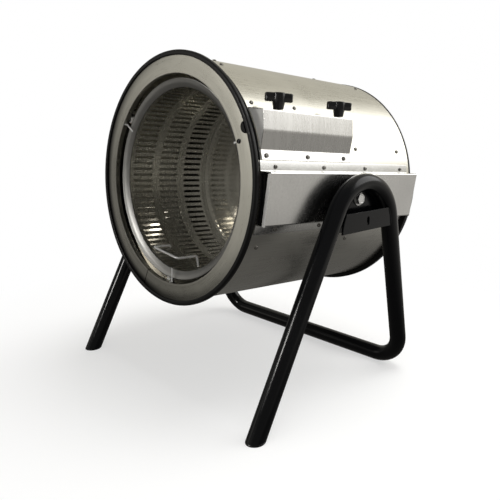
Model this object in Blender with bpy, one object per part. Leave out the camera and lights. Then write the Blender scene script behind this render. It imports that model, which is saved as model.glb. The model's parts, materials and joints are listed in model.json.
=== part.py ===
"""Rotary drum tumbler: a slotted stainless drum in a tilting housing on a bent-tube stand.

Metres, +Z up. The drum's mouth faces -Y, the tilt pivot runs along X and the floor is z = 0.
Housing pieces are modelled in the machine frame: x across, y along the drum axis from the ring's
front face towards the rear, z up from the drum axis.
"""
import math

import bmesh
import bpy
from mathutils import Vector

GAP = 0.0003                    # clearance between pieces that touch

# Stand: one bent tube, front foot - hairpin - rear bar - hairpin - front foot
TUBE_R = 0.0155
TUBE_WALL = 0.0016
STAND_HALF_WIDTH = 0.256        # centreline of each hairpin
HAIRPIN_R = 0.083
HAIRPIN_TOP = 0.385             # centreline height of the hairpin's top
FRONT_LEAN = math.radians(28.0)
REAR_LEAN = math.radians(13.0)
REAR_BEND_R = 0.057
TUBE_SIDES = 14
FOOT_SOLE = 0.0035              # thickness of the plug's sole under the tube
FOOT_EDGE = 0.001
FOOT_STEM_LENGTH = 0.028
PLATE_THICK = 0.003
PLATE_X = 0.243                 # inner face of the pivot plate
STRAP_X = 0.2655
STRAP_BOTTOM, STRAP_TOP = 0.304, 0.337

# Tilt pivot and the machine frame that hangs on it
PIVOT_Y = 0.0195                # puts the centre of the bounding box on the origin
PIVOT_Z = 0.356
REST_TILT = math.radians(3.8)   # mouth raised
PIVOT_TO_RING = 0.2217          # along the drum axis
PIVOT_BELOW_AXIS = 0.012
BOLT_R = 0.005
BOLT_HOLE_R = 0.0055
BOLT_HEAD_R = 0.0098            # across the corners of a 17 mm hexagon
BOLT_HEAD_HEIGHT = 0.0064
NUT_HEIGHT = 0.008

# Housing
SHEET = 0.0012
SHELL_R = 0.2128                # outside of both shells
SHELL_END = 0.437
UPPER_SHELL_START = 0.0165
LOWER_SHELL_START = 0.0065
SEAM_ANGLE = math.radians(8.0)  # seam of the two shells above the drum axis
UPPER_TRIM_ANGLE = math.radians(13.0)
RING_SHEET = 0.0015
RING_OUTER_R = 0.2195
RING_INNER_R = 0.183
RING_LIP_DEPTH = 0.010
SKIRT_DEPTH = 0.036
TRIM_INNER_R = 0.2125
TRIM_OUTER_R = 0.2214
TRIM_FRONT, TRIM_BACK = -0.003, 0.0055
BULKHEAD_Y = 0.2555
REAR_PANEL_Y = 0.408
FLANGE_DEPTH = 0.0195
RING_SEGMENTS = 64

# Side boxes that carry the pivot bolts, and the hood with its two knobs
BOX_START, BOX_END = 0.014, 0.4245
BOX_TOP, BOX_BOTTOM = 0.0315, -0.052
BOX_TOP_X, BOX_BOTTOM_X = 0.2355, 0.2275
BOX_SHEET = 0.0015
BOX_CAP_THICK = 0.004
HOOD_START, HOOD_END = 0.0195, 0.2421
HOOD_SHEET = 0.001
HOOD_FOOT = math.radians(12.95)     # lower edge of the screwed flange
HOOD_BEND = math.radians(17.2)      # where the hood leaves the shell
HOOD_CREASE = (0.2085, 0.093)
HOOD_CORNER = (0.2050, 0.1240)
HOOD_TOP_INNER = (0.1715, 0.1262)
KNOB_X = 0.187
KNOB_Y = (0.0705, 0.2238)
KNOB_TURN = math.radians(65.0)
KNOB_HUB_R = 0.010
KNOB_HEIGHT = 0.026
KNOB_BAR = (0.046, 0.011, 0.014)
STUD_R = 0.004
STUD_LENGTH = 0.014
SCREW_HEAD_R = 0.0038
SCREW_HEAD_HEIGHT = 0.0022

# Drum
DRUM_R = 0.168                  # inside of the slotted wall
DRUM_SHEET = 0.0012
DRUM_START, DRUM_END = 0.024, 0.2165
RIM_OUTER_R = 0.1775
RIM_INNER_R = 0.162
RIM_FRONT = 0.012
SLOTS_AROUND = 90
SLOT_SHARE = 0.44               # slot width as a share of the pitch
SLOT_ROWS = ((0.032, 0.077), (0.094, 0.139), (0.156, 0.201))
HUB_R = 0.030
SHAFT_R = 0.008
COUPLING_R = 0.014
ROLLER_R = 0.007
ROLLER_ANGLES = [math.radians(65.0 + 120.0 * i) for i in range(3)]   # from the top, towards +X
ROLLER_START, ROLLER_END = 0.0125, 0.0205
WIRE_R = 0.0022
WIRE_Y = (0.030, 0.080)

# Drive and rear panel fittings
MOTOR_R = 0.030
GEARBOX_HALF = 0.032
GEARBOX_Y = (0.3185, 0.350)
MOTOR_END = 0.402
INLET_AT = (0.105, -0.095)
SWITCH_AT = (0.055, -0.115)


def clear_scene():
    for obj in list(bpy.data.objects):
        bpy.data.objects.remove(obj, do_unlink=True)


def material(name, color, roughness, metallic):
    mat = bpy.data.materials.new(name)
    mat.use_nodes = True
    shader = mat.node_tree.nodes["Principled BSDF"]
    shader.inputs["Base Color"].default_value = (*color, 1.0)
    shader.inputs["Roughness"].default_value = roughness
    shader.inputs["Metallic"].default_value = metallic
    mat.diffuse_color = (*color, 1.0)
    return mat


PALETTE = {
    "black_steel": ((0.012, 0.012, 0.013), 0.42, 0.0),
    "black_rubber": ((0.014, 0.014, 0.014), 0.75, 0.0),
    "black_plastic": ((0.016, 0.016, 0.018), 0.48, 0.0),
    "brushed_steel": ((0.56, 0.55, 0.52), 0.32, 1.0),
    "polished_steel": ((0.62, 0.61, 0.58), 0.16, 1.0),
    "zinc_steel": ((0.60, 0.60, 0.60), 0.35, 1.0),
    "grey_paint": ((0.20, 0.21, 0.22), 0.50, 0.0),
    "white_nylon": ((0.78, 0.77, 0.73), 0.45, 0.0),
}


def make_object(name, bm, look, parent, location=(0.0, 0.0, 0.0)):
    """Turn a bmesh into a named object with its own material."""
    bmesh.ops.remove_doubles(bm, verts=bm.verts, dist=1e-6)
    bmesh.ops.recalc_face_normals(bm, faces=bm.faces)
    mesh = bpy.data.meshes.new(name)
    bm.to_mesh(mesh)
    bm.free()
    color, roughness, metallic = PALETTE[look]
    mesh.materials.append(material(name + "_" + look, color, roughness, metallic))
    mesh.shade_smooth()
    mesh.set_sharp_from_angle(angle=math.radians(32.0))
    obj = bpy.data.objects.new(name, mesh)
    bpy.context.scene.collection.objects.link(obj)
    obj.parent = parent
    obj.location = location
    return obj


def make_empty(name, parent, location, rotation=(0.0, 0.0, 0.0)):
    empty = bpy.data.objects.new(name, None)
    bpy.context.scene.collection.objects.link(empty)
    empty.parent = parent
    empty.location = location
    empty.rotation_euler = rotation
    return empty


def loft(rings, closed_ends=True, loop=False):
    """Skin a list of equally long vertex rings; cap the ends or join them in a loop."""
    bm = bmesh.new()
    grid = [[bm.verts.new(point) for point in ring] for ring in rings]
    count = len(grid[0])
    pairs = list(zip(grid, grid[1:]))
    if loop:
        pairs.append((grid[-1], grid[0]))
    for first, second in pairs:
        for i in range(count):
            j = (i + 1) % count
            bm.faces.new((first[i], first[j], second[j], second[i]))
    if closed_ends and not loop:
        bm.faces.new(grid[0])
        bm.faces.new(grid[-1])
    return bm


def turned(profile, start=0.0, end=math.tau, segments=RING_SEGMENTS, centre=(0.0, 0.0)):
    """Revolve a closed (radius, y) profile about an axis along y; angles run from +X to +Z."""
    full = abs(end - start - math.tau) < 1e-9
    steps = segments if full else max(2, round(segments * (end - start) / math.tau))
    rings = []
    for i in range(steps if full else steps + 1):
        angle = start + (end - start) * i / steps
        cos, sin = math.cos(angle), math.sin(angle)
        rings.append([(centre[0] + r * cos, y, centre[1] + r * sin) for r, y in profile])
    bm = loft(rings, loop=full)
    bmesh.ops.remove_doubles(bm, verts=bm.verts, dist=1e-7)
    bmesh.ops.dissolve_degenerate(bm, edges=bm.edges, dist=1e-7)
    return bm


def prism(outline, start, end, axis="y"):
    """Extrude a closed 2D outline along an axis: (x, z) along y, (y, z) along x, (x, y) along z."""
    place = {
        "x": lambda u, v, w: (w, u, v),
        "y": lambda u, v, w: (u, w, v),
        "z": lambda u, v, w: (u, v, w),
    }[axis]
    return loft([[place(u, v, w) for u, v in outline] for w in (start, end)])


def arc(centre, radius, start, end, steps):
    return [
        (centre[0] + radius * math.cos(start + (end - start) * i / steps),
         centre[1] + radius * math.sin(start + (end - start) * i / steps))
        for i in range(steps + 1)
    ]


def rectangle(u0, u1, v0, v1):
    return [(u0, v0), (u1, v0), (u1, v1), (u0, v1)]


def disc_outline(radius, sides, centre=(0.0, 0.0)):
    return arc(centre, radius, 0.0, math.tau, sides)[:-1]


def swept_tube(path, radius, sides):
    """Rings of a round tube along a 3D path, carried along without twist."""
    points = [Vector(p) for p in path]
    tangents = []
    for i in range(len(points)):
        ahead = points[min(i + 1, len(points) - 1)] - points[min(i, len(points) - 2)]
        behind = points[max(i, 1)] - points[max(i - 1, 0)]
        tangents.append((ahead.normalized() + behind.normalized()).normalized())
    normal = tangents[0].orthogonal().normalized()
    rings = []
    for point, tangent in zip(points, tangents):
        normal = (normal - tangent * normal.dot(tangent)).normalized()
        side = tangent.cross(normal)
        rings.append([
            point + radius * (normal * math.cos(math.tau * k / sides)
                              + side * math.sin(math.tau * k / sides))
            for k in range(sides)
        ])
    return rings


def cut_level(ring, direction, height):
    """Slide a ring's points along a direction until they lie at one height."""
    return [p + direction * ((height - p.z) / direction.z) for p in ring]


def cut(obj, bm, name, operation="DIFFERENCE"):
    """Cut (or join) a hidden helper solid into an object."""
    helper = make_object(name, bm, "zinc_steel", obj.parent, obj.location)
    helper.hide_render = True
    helper.display_type = "WIRE"
    modifier = obj.modifiers.new(name, "BOOLEAN")
    modifier.operation = operation
    modifier.solver = "EXACT"
    modifier.object = helper


def mirrored_x(points):
    return [(-x, y, z) for x, y, z in points]


# ---------------------------------------------------------------- stand

def hairpin_centre():
    return (0.0, HAIRPIN_TOP - HAIRPIN_R)


def right_half_path():
    """Centreline from the right front foot over the hairpin to the middle of the rear bar."""
    yc, zc = hairpin_centre()
    x = STAND_HALF_WIDTH
    foot_y = yc - zc * math.tan(FRONT_LEAN) - HAIRPIN_R / math.cos(FRONT_LEAN)
    path = [(x, foot_y, 0.0)]
    for y, z in arc((yc, zc), HAIRPIN_R, math.pi - FRONT_LEAN, REAR_LEAN, 12):
        path.append((x, y, z))
    bar_y = yc + (zc - TUBE_R) * math.tan(REAR_LEAN) + HAIRPIN_R / math.cos(REAR_LEAN)
    corner = Vector((x, bar_y, TUBE_R))
    down = Vector((0.0, math.sin(REAR_LEAN), -math.cos(REAR_LEAN)))
    across = Vector((-1.0, 0.0, 0.0))
    centre = corner - down * REAR_BEND_R + across * REAR_BEND_R
    for i in range(9):
        turn = math.pi / 2 * i / 8
        point = centre - across * REAR_BEND_R * math.cos(turn) + down * REAR_BEND_R * math.sin(turn)
        path.append(tuple(point))
    return path


def leg_direction():
    return Vector((0.0, math.sin(FRONT_LEAN), math.cos(FRONT_LEAN)))


def make_stand(base):
    half = right_half_path()
    path = half + mirrored_x(reversed(half))
    up = leg_direction()
    skins = []
    for radius in (TUBE_R, TUBE_R - TUBE_WALL):
        rings = swept_tube(path, radius, TUBE_SIDES)
        rings[0] = cut_level(rings[0], up, FOOT_SOLE + GAP)
        rings[-1] = cut_level(rings[-1], up, FOOT_SOLE + GAP)
        skins.append(rings)
    tube = loft(skins[0] + skins[1][::-1], loop=True)
    make_object("stand_tube", tube, "black_steel", base)
    for side, sign in (("right", 1.0), ("left", -1.0)):
        make_foot_plug(base, side, sign, half[0], up)
        make_hairpin_plates(base, side, sign)


def make_foot_plug(base, side, sign, foot, up):
    """Moulded plug in the lower end of a front leg, with a level sole as wide as the tube."""
    at = Vector((sign * foot[0], foot[1], foot[2]))
    across = Vector((1.0, 0.0, 0.0))
    over = up.cross(across)

    def ring(radius, along=0.0):
        return [at + up * along + radius * (across * math.cos(math.tau * k / 16)
                                            + over * math.sin(math.tau * k / 16)) for k in range(16)]

    stem = (TUBE_R - TUBE_WALL) * math.cos(math.pi / TUBE_SIDES) - GAP
    rings = [
        ring(stem, FOOT_STEM_LENGTH),
        cut_level(ring(stem), up, FOOT_SOLE),
        cut_level(ring(TUBE_R), up, FOOT_SOLE),
        cut_level(ring(TUBE_R), up, FOOT_EDGE),
        cut_level(ring(TUBE_R - FOOT_EDGE), up, 0.0),
    ]
    make_object("foot_plug_" + side, loft(rings), "black_plastic", base)


def inner_reach(x):
    """Radius of the free space inside the hairpin, measured on a plane at x."""
    off = abs(x - STAND_HALF_WIDTH)
    return HAIRPIN_R - math.sqrt(TUBE_R ** 2 - off ** 2) - GAP


def make_hairpin_plates(base, side, sign):
    yc, zc = hairpin_centre()
    reach = inner_reach(PLATE_X + PLATE_THICK)
    outline = arc((yc, zc), reach, 0.0, math.pi, 18)
    plate = make_object(
        "pivot_plate_" + side,
        prism(outline, sign * PLATE_X, sign * (PLATE_X + PLATE_THICK), "x"), "black_steel", base)
    hole = disc_outline(BOLT_HOLE_R, 20, (0.0, PIVOT_Z))
    cut(plate, prism(hole, sign * (PLATE_X - 0.01), sign * (PLATE_X + 0.01), "x"),
        "cut_pivot_plate_" + side)

    reach = inner_reach(STRAP_X)
    low, high = math.asin((STRAP_BOTTOM - zc) / reach), math.asin((STRAP_TOP - zc) / reach)
    outline = (arc((yc, zc), reach, low, high, 4)
               + arc((yc, zc), reach, math.pi - high, math.pi - low, 4))
    strap = make_object(
        "strap_" + side,
        prism(outline, sign * STRAP_X, sign * (STRAP_X + PLATE_THICK), "x"), "black_steel", base)
    slot = (arc((0.0, 0.3245), 0.0035, 0.0, math.pi, 6) + arc((0.0, 0.3165), 0.0035, math.pi, math.tau, 6))
    cut(strap, prism(slot, sign * (STRAP_X - 0.01), sign * (STRAP_X + 0.01), "x"), "cut_strap_" + side)


# ---------------------------------------------------------------- housing

def shell_profile(start):
    return [(SHELL_R - SHEET, start), (SHELL_R, start), (SHELL_R, SHELL_END), (SHELL_R - SHEET, SHELL_END)]


def make_shells(machine):
    seam_gap = GAP / SHELL_R
    make_object("shell_upper", turned(shell_profile(UPPER_SHELL_START), SEAM_ANGLE, math.pi - SEAM_ANGLE),
                "brushed_steel", machine)
    make_object("shell_lower", turned(shell_profile(LOWER_SHELL_START), math.pi - SEAM_ANGLE + seam_gap,
                                      math.tau + SEAM_ANGLE - seam_gap), "brushed_steel", machine)


def make_front_ring(machine):
    inner, outer = RING_INNER_R, RING_OUTER_R
    skirt = SHELL_R - SHEET - GAP
    profile = [
        (outer, 0.0), (inner + 0.003, 0.0), (inner + 0.0008, 0.0008), (inner, 0.003), (inner, RING_LIP_DEPTH),
        (inner + RING_SHEET, RING_LIP_DEPTH), (inner + RING_SHEET, 0.0035), (inner + 0.004, RING_SHEET),
        (skirt - RING_SHEET, RING_SHEET), (skirt - RING_SHEET, SKIRT_DEPTH), (skirt, SKIRT_DEPTH),
        (skirt, RING_SHEET), (outer, RING_SHEET),
    ]
    make_object("front_ring", turned(profile), "brushed_steel", machine)


def make_trims(machine):
    """Rubber edge trims: front ring, both rear shell edges and the upper shell's front edge."""
    groove_front, groove_back = -GAP, RING_SHEET + GAP
    profile = [
        (TRIM_INNER_R, TRIM_FRONT + 0.001), (TRIM_INNER_R + 0.001, TRIM_FRONT),
        (TRIM_OUTER_R - 0.0025, TRIM_FRONT), (TRIM_OUTER_R, TRIM_FRONT + 0.0025),
        (TRIM_OUTER_R, TRIM_BACK - 0.0015), (TRIM_OUTER_R - 0.0015, TRIM_BACK),
        (TRIM_INNER_R, TRIM_BACK), (TRIM_INNER_R, groove_back),
        (RING_OUTER_R + GAP, groove_back), (RING_OUTER_R + GAP, groove_front), (TRIM_INNER_R, groove_front),
    ]
    make_object("front_trim", turned(profile), "black_rubber", machine)

    outside, inside = SHELL_R + GAP, SHELL_R - SHEET - 0.001
    end = SHELL_END + GAP
    profile = [(outside, end - 0.0065), (SHELL_R + 0.0097, end - 0.0055), (SHELL_R + 0.0097, end + 0.0045),
               (SHELL_R + 0.0080, end + 0.006), (inside, end + 0.006), (inside, end), (outside, end)]
    make_object("rear_trim_lower", turned(profile, math.pi - SEAM_ANGLE, math.tau + SEAM_ANGLE),
                "black_rubber", machine)
    profile = [(outside, end - 0.003), (SHELL_R + 0.0016, end - 0.003), (SHELL_R + 0.0016, end + 0.0025),
               (inside, end + 0.0025), (inside, end), (outside, end)]
    clear = GAP / SHELL_R
    make_object("rear_trim_upper", turned(profile, SEAM_ANGLE + clear, math.pi - SEAM_ANGLE - clear),
                "black_rubber", machine)
    start = UPPER_SHELL_START - GAP
    profile = [(SHELL_R - SHEET, start - 0.0035), (SHELL_R + 0.002, start - 0.0035),
               (SHELL_R + 0.0027, start - 0.0015), (SHELL_R + 0.0027, start), (SHELL_R - SHEET, start)]
    make_object("upper_trim", turned(profile, UPPER_TRIM_ANGLE, math.pi - UPPER_TRIM_ANGLE),
                "black_rubber", machine)


def make_trim_clip(machine):
    """Half-round rubber clip over the joint of the front trim, on the ring's right."""
    angle = math.radians(28.0)
    radius = TRIM_INNER_R - GAP
    centre = (radius * math.cos(angle), radius * math.sin(angle))
    half = []
    for u, v in arc((0.0, 0.0), 0.0095, math.pi / 2, 3 * math.pi / 2, 10):
        u = u * 0.85 - 0.0004
        half.append((centre[0] + u * math.cos(angle) - v * math.sin(angle),
                     centre[1] + u * math.sin(angle) + v * math.cos(angle)))
    make_object("trim_clip", prism(half, -0.0032, -GAP), "black_rubber", machine)


def make_panels(machine):
    skirt = SHELL_R - SHEET - GAP
    y = BULKHEAD_Y
    profile = [(0.012, y), (skirt, y), (skirt, y + FLANGE_DEPTH), (skirt - RING_SHEET, y + FLANGE_DEPTH),
               (skirt - RING_SHEET, y + RING_SHEET), (0.012, y + RING_SHEET)]
    make_object("bulkhead", turned(profile), "brushed_steel", machine)
    y = REAR_PANEL_Y
    profile = [(0.0, y), (skirt - RING_SHEET, y), (skirt - RING_SHEET, y - FLANGE_DEPTH),
               (skirt, y - FLANGE_DEPTH), (skirt, y + RING_SHEET), (0.0, y + RING_SHEET)]
    panel = make_object("rear_panel", turned(profile), "brushed_steel", machine)
    for i in range(6):
        z = 0.045 + 0.014 * i
        vent = rectangle(-0.045, 0.045, z, z + 0.005)
        cut(panel, prism(vent, y - 0.01, y + 0.01), "cut_vent_%d" % (i + 1))
    for name, (x, z), half in (("inlet", INLET_AT, (0.0143, 0.0103)), ("switch", SWITCH_AT, (0.0098, 0.0138))):
        window = rectangle(x - half[0], x + half[0], z - half[1], z + half[1])
        cut(panel, prism(window, y - 0.01, y + 0.01), "cut_" + name)


def side_box_outline():
    """Folded section in (x, z): flange on the shell, top, leaning web, bottom, lower flange."""
    seat = SHELL_R + GAP
    t = BOX_SHEET
    top, low = BOX_TOP, BOX_BOTTOM

    def on_shell(radius, z):
        return math.asin(z / radius)

    outer = arc((0.0, 0.0), seat + t, math.asin(0.0470 / (seat + t)), on_shell(seat + t, top), 3)
    outer += [(BOX_TOP_X, top), (BOX_BOTTOM_X, low)]
    outer += arc((0.0, 0.0), seat + t, on_shell(seat + t, low), math.asin(-0.068 / (seat + t)), 3)
    inner = arc((0.0, 0.0), seat, math.asin(-0.068 / seat), on_shell(seat, low + t), 3)
    inner += [(BOX_BOTTOM_X - t, low + t), (BOX_TOP_X - t, top - t)]
    inner += arc((0.0, 0.0), seat, on_shell(seat, top - t), math.asin(0.0470 / seat), 3)
    return outer + inner


def web_x(z):
    """Outer face of a side box's web at height z above the drum axis."""
    return BOX_BOTTOM_X + (BOX_TOP_X - BOX_BOTTOM_X) * (z - BOX_BOTTOM) / (BOX_TOP - BOX_BOTTOM)


def make_side_box(machine, side, sign):
    outline = [(sign * x, z) for x, z in side_box_outline()]
    box = make_object("side_box_" + side, prism(outline, BOX_START, BOX_END), "brushed_steel", machine)
    hole = disc_outline(BOLT_HOLE_R, 20, (PIVOT_TO_RING, -PIVOT_BELOW_AXIS))
    cut(box, prism(hole, sign * 0.220, sign * 0.245, "x"), "cut_side_box_" + side)

    clear, t = GAP, BOX_SHEET
    top, low = BOX_TOP - t - clear, BOX_BOTTOM + t + clear
    seat = SHELL_R + clear
    cap = [(sign * (web_x(z) - t - 2 * clear), z) for z in (low, top)]
    cap += [(sign * x, z) for x, z in arc((0.0, 0.0), seat, math.asin(top / seat), math.asin(low / seat), 6)]
    for end, start in (("front", BOX_START + 0.0015), ("rear", BOX_END - 0.0015 - BOX_CAP_THICK)):
        make_object("box_cap_%s_%s" % (end, side), prism(cap, start, start + BOX_CAP_THICK),
                    "black_plastic", machine)


def make_pivot(machine, side, sign):
    """Bolt, spacer boss and nut that carry one side box on its pivot plate."""
    y, z = PIVOT_TO_RING, -PIVOT_BELOW_AXIS
    head = PLATE_X + PLATE_THICK + GAP
    end = 0.2165

    def ring(radius, x, sides=20, follow_web=False):
        points = []
        for v, w in disc_outline(radius, sides, (y, z)):
            points.append((sign * ((web_x(w) + GAP) if follow_web else x), v, w))
        return points

    hexagon = [ring(BOLT_HEAD_R, head, 6), ring(BOLT_HEAD_R, head + BOLT_HEAD_HEIGHT, 6)]
    bolt = make_object("pivot_bolt_" + side, loft(hexagon), "polished_steel", machine)
    shank = [ring(BOLT_R, end, 16), ring(BOLT_R, head + 0.002, 16)]
    cut(bolt, loft(shank), "join_shank_" + side, "UNION")

    outer, inner, face = 0.017, BOLT_HOLE_R, PLATE_X - GAP
    boss = [ring(inner, 0.0, follow_web=True), ring(inner, face), ring(outer, face),
            ring(outer, 0.0, follow_web=True)]
    make_object("pivot_boss_" + side, loft(boss, loop=True), "black_plastic", machine)

    low_x = web_x(z - BOLT_HEAD_R) - BOX_SHEET - GAP
    bore = BOLT_R + GAP
    nut = [ring(bore, low_x - NUT_HEIGHT, 24), ring(bore, low_x, 24),
           hexagon_ring(y, z, BOLT_HEAD_R, sign * low_x), hexagon_ring(y, z, BOLT_HEAD_R, sign * (low_x - NUT_HEIGHT))]
    make_object("pivot_nut_" + side, loft(nut, loop=True), "zinc_steel", machine)


def hexagon_ring(y, z, radius, x, points=24):
    """A hexagon with extra points on its sides, so that it skins to a round bore."""
    ring = []
    for k in range(points):
        angle = math.tau * k / points
        within = (angle % (math.pi / 3)) - math.pi / 6
        reach = radius * math.cos(math.pi / 6) / math.cos(within)
        ring.append((x, y + reach * math.cos(angle), z + reach * math.sin(angle)))
    return ring


def make_hood(machine):
    """Folded cover on the right upper side: screwed flange, creased face, top and two ends."""
    seat = SHELL_R + GAP
    t = HOOD_SHEET
    top_in = HOOD_TOP_INNER
    top_angle = math.atan2(top_in[1], top_in[0])
    outline = arc((0.0, 0.0), seat + t, HOOD_FOOT, HOOD_BEND, 3)
    outline += [HOOD_CREASE, HOOD_CORNER]
    outline += arc((0.0, 0.0), seat, top_angle, HOOD_FOOT, 10)
    hood = make_object("hood", prism(outline, HOOD_START, HOOD_END), "brushed_steel", machine)
    foot = ((seat - 0.004) * math.cos(HOOD_BEND), (seat - 0.004) * math.sin(HOOD_BEND) + 0.002)
    hollow = [foot, (HOOD_CREASE[0] - t, HOOD_CREASE[1]), (HOOD_CORNER[0] - t, HOOD_CORNER[1] - t),
              (top_in[0] - 0.006, top_in[1] - t), (0.15, 0.10)]
    cut(hood, prism(hollow, HOOD_START + t, HOOD_END - t), "cut_hood_inside")
    for i, y in enumerate(KNOB_Y):
        hole = disc_outline(STUD_R + GAP, 16, (KNOB_X, y))
        cut(hood, prism(hole, 0.115, 0.135, "z"), "cut_stud_%d" % (i + 1))


def make_knob(machine, name, y):
    """T-shaped clamping knob on a threaded stud, turning about its own upright axis."""
    top = HOOD_CORNER[1] + (HOOD_TOP_INNER[1] - HOOD_CORNER[1]) * 0.75 + 0.0006
    axis = make_empty("axis_" + name, machine, (KNOB_X, y, top), (0.0, 0.0, KNOB_TURN))
    hub = loft([
        [(u, v, w) for u, v in disc_outline(r, 20)]
        for r, w in ((KNOB_HUB_R * 0.8, 0.0), (KNOB_HUB_R, 0.002), (KNOB_HUB_R, KNOB_HEIGHT - 0.002),
                     (KNOB_HUB_R - 0.002, KNOB_HEIGHT))
    ])
    knob = make_object(name, hub, "black_plastic", axis)
    length, width, height = KNOB_BAR
    outline = rounded_bar(length, width, 0.003)
    slim = rounded_bar(length - 0.002, width - 0.002, 0.002)
    low = KNOB_HEIGHT - 0.0005 - height
    bar = loft([[(u, v, w) for u, v in ring] for ring, w in (
        (slim, low), (outline, low + 0.001), (outline, low + height - 0.001), (slim, low + height))])
    cut(knob, bar, "join_bar_" + name, "UNION")
    stud = loft([[(u, v, w) for u, v in disc_outline(STUD_R, 14)] for w in (-STUD_LENGTH, -GAP)])
    make_object(name.replace("knob", "stud"), stud, "zinc_steel", axis)


def rounded_bar(length, width, radius):
    u, v = length / 2 - radius, width / 2 - radius
    outline = []
    for k, (cu, cv) in enumerate(((u, v), (-u, v), (-u, -v), (u, -v))):
        outline += arc((cu, cv), radius, k * math.pi / 2, (k + 1) * math.pi / 2, 3)
    return outline


def make_hood_screws(machine):
    """Pan-head screws along the hood's lower flange."""
    angle = math.asin(0.0545 / (SHELL_R + HOOD_SHEET))
    out = Vector((math.cos(angle), 0.0, math.sin(angle)))
    along = Vector((0.0, 1.0, 0.0))
    over = out.cross(along)
    for i in range(3):
        base = out * (SHELL_R + HOOD_SHEET + 2 * GAP + 0.0002) + along * (0.030 + 0.096 * i)
        rings = []
        for radius, height in ((SCREW_HEAD_R, 0.0), (SCREW_HEAD_R, 0.0012),
                               (SCREW_HEAD_R * 0.55, SCREW_HEAD_HEIGHT)):
            rings.append([base + out * height + radius * (along * math.cos(math.tau * k / 12)
                                                          + over * math.sin(math.tau * k / 12))
                          for k in range(12)])
        make_object("hood_screw_%d" % (i + 1), loft(rings), "zinc_steel", machine)


# ---------------------------------------------------------------- drum

def slotted_wall():
    """Thin cylinder with rows of lengthwise slots, as one closed skin."""
    bm = bmesh.new()
    levels = [DRUM_START]
    for start, end in SLOT_ROWS:
        levels += [start, end]
    levels.append(DRUM_END)
    pitch = math.tau / SLOTS_AROUND
    angles = []
    for i in range(SLOTS_AROUND):
        angles += [i * pitch, i * pitch + pitch * (1.0 - SLOT_SHARE)]
    radii = (DRUM_R, DRUM_R + DRUM_SHEET)
    verts = [[[bm.verts.new((r * math.cos(a), y, r * math.sin(a))) for y in levels] for a in angles]
             for r in radii]
    count, rows = len(angles), len(levels) - 1

    def is_slot(i, j):
        return i % 2 == 1 and j % 2 == 1

    for i in range(count):
        n = (i + 1) % count
        for j in range(rows):
            if is_slot(i, j):
                loop = ((i, j), (n, j), (n, j + 1), (i, j + 1))
                for (a, b), (c, d) in zip(loop, loop[1:] + loop[:1]):
                    bm.faces.new((verts[0][a][b], verts[0][c][d], verts[1][c][d], verts[1][a][b]))
                continue
            for skin in verts:
                bm.faces.new((skin[i][j], skin[n][j], skin[n][j + 1], skin[i][j + 1]))
        for j in (0, rows):
            bm.faces.new((verts[0][i][j], verts[0][n][j], verts[1][n][j], verts[1][i][j]))
    return bm


def make_drum(drum):
    make_object("drum_wall", slotted_wall(), "brushed_steel", drum)
    outer, inner, front = RIM_OUTER_R, RIM_INNER_R, RIM_FRONT
    t = RING_SHEET
    back = DRUM_START - GAP
    profile = [
        (outer - 0.0015, front), (inner + 0.001, front + 0.0065), (inner, front + 0.0078),
        (inner + 0.001, front + 0.009), (outer - t, front + 0.0022), (outer - t, back), (outer, back),
        (outer, front + 0.0015),
    ]
    make_object("drum_rim", turned(profile), "polished_steel", drum)
    r = DRUM_R - GAP
    back = DRUM_END - RING_SHEET
    profile = [(0.0, back), (r, back), (r, DRUM_END), (0.0, DRUM_END)]
    make_object("drum_back", turned(profile), "polished_steel", drum)
    start = DRUM_END + GAP
    profile = [(0.0, start), (HUB_R, start), (HUB_R, start + 0.005), (0.014, start + 0.007),
               (0.014, start + 0.017), (0.0, start + 0.017)]
    make_object("drum_hub", turned(profile, segments=24), "zinc_steel", drum)
    start += 0.017 + GAP
    profile = [(0.0, start), (SHAFT_R, start), (SHAFT_R, 0.285), (COUPLING_R, 0.286), (COUPLING_R, 0.308),
               (0.013, 0.309), (0.0, 0.309)]
    make_object("drum_shaft", turned(profile, segments=20), "zinc_steel", drum)
    make_wire_lifter(drum)


def fillet(a, corner, b, radius, steps=4):
    """Points of a rounded corner between two straight runs."""
    a, corner, b = Vector(a), Vector(corner), Vector(b)
    into, out = (corner - a).normalized(), (b - corner).normalized()
    half = into.angle(out) / 2
    reach = radius * math.tan(half)
    start, end = corner - into * reach, corner + out * reach
    centre = corner + (out - into).normalized() * (radius / math.cos(half))
    points = []
    for i in range(steps + 1):
        arm = (start - centre).lerp(end - centre, i / steps)
        points.append(centre + arm.normalized() * radius)
    return points


def make_wire_lifter(drum):
    """Bent wire that lifts the load: a front bar, two side rails and feet on the drum wall."""
    left, right = math.radians(-122.0), math.radians(-91.0)
    rail_r, foot_r = DRUM_R - 0.014, DRUM_R - GAP - 0.0006
    near, far = WIRE_Y

    def at(radius, angle, y):
        return (radius * math.cos(angle), y, radius * math.sin(angle))

    corners = [at(foot_r, left, far), at(rail_r, left, far), at(rail_r, left, near),
               at(rail_r, right, near), at(rail_r, right, far), at(foot_r, right, far)]
    path = [Vector(corners[0])]
    for before, corner, after in zip(corners, corners[1:], corners[2:]):
        path += fillet(before, corner, after, 0.005)
    path.append(Vector(corners[-1]))
    make_object("wire_lifter", loft(swept_tube(path, WIRE_R, 8)), "polished_steel", drum)


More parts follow.
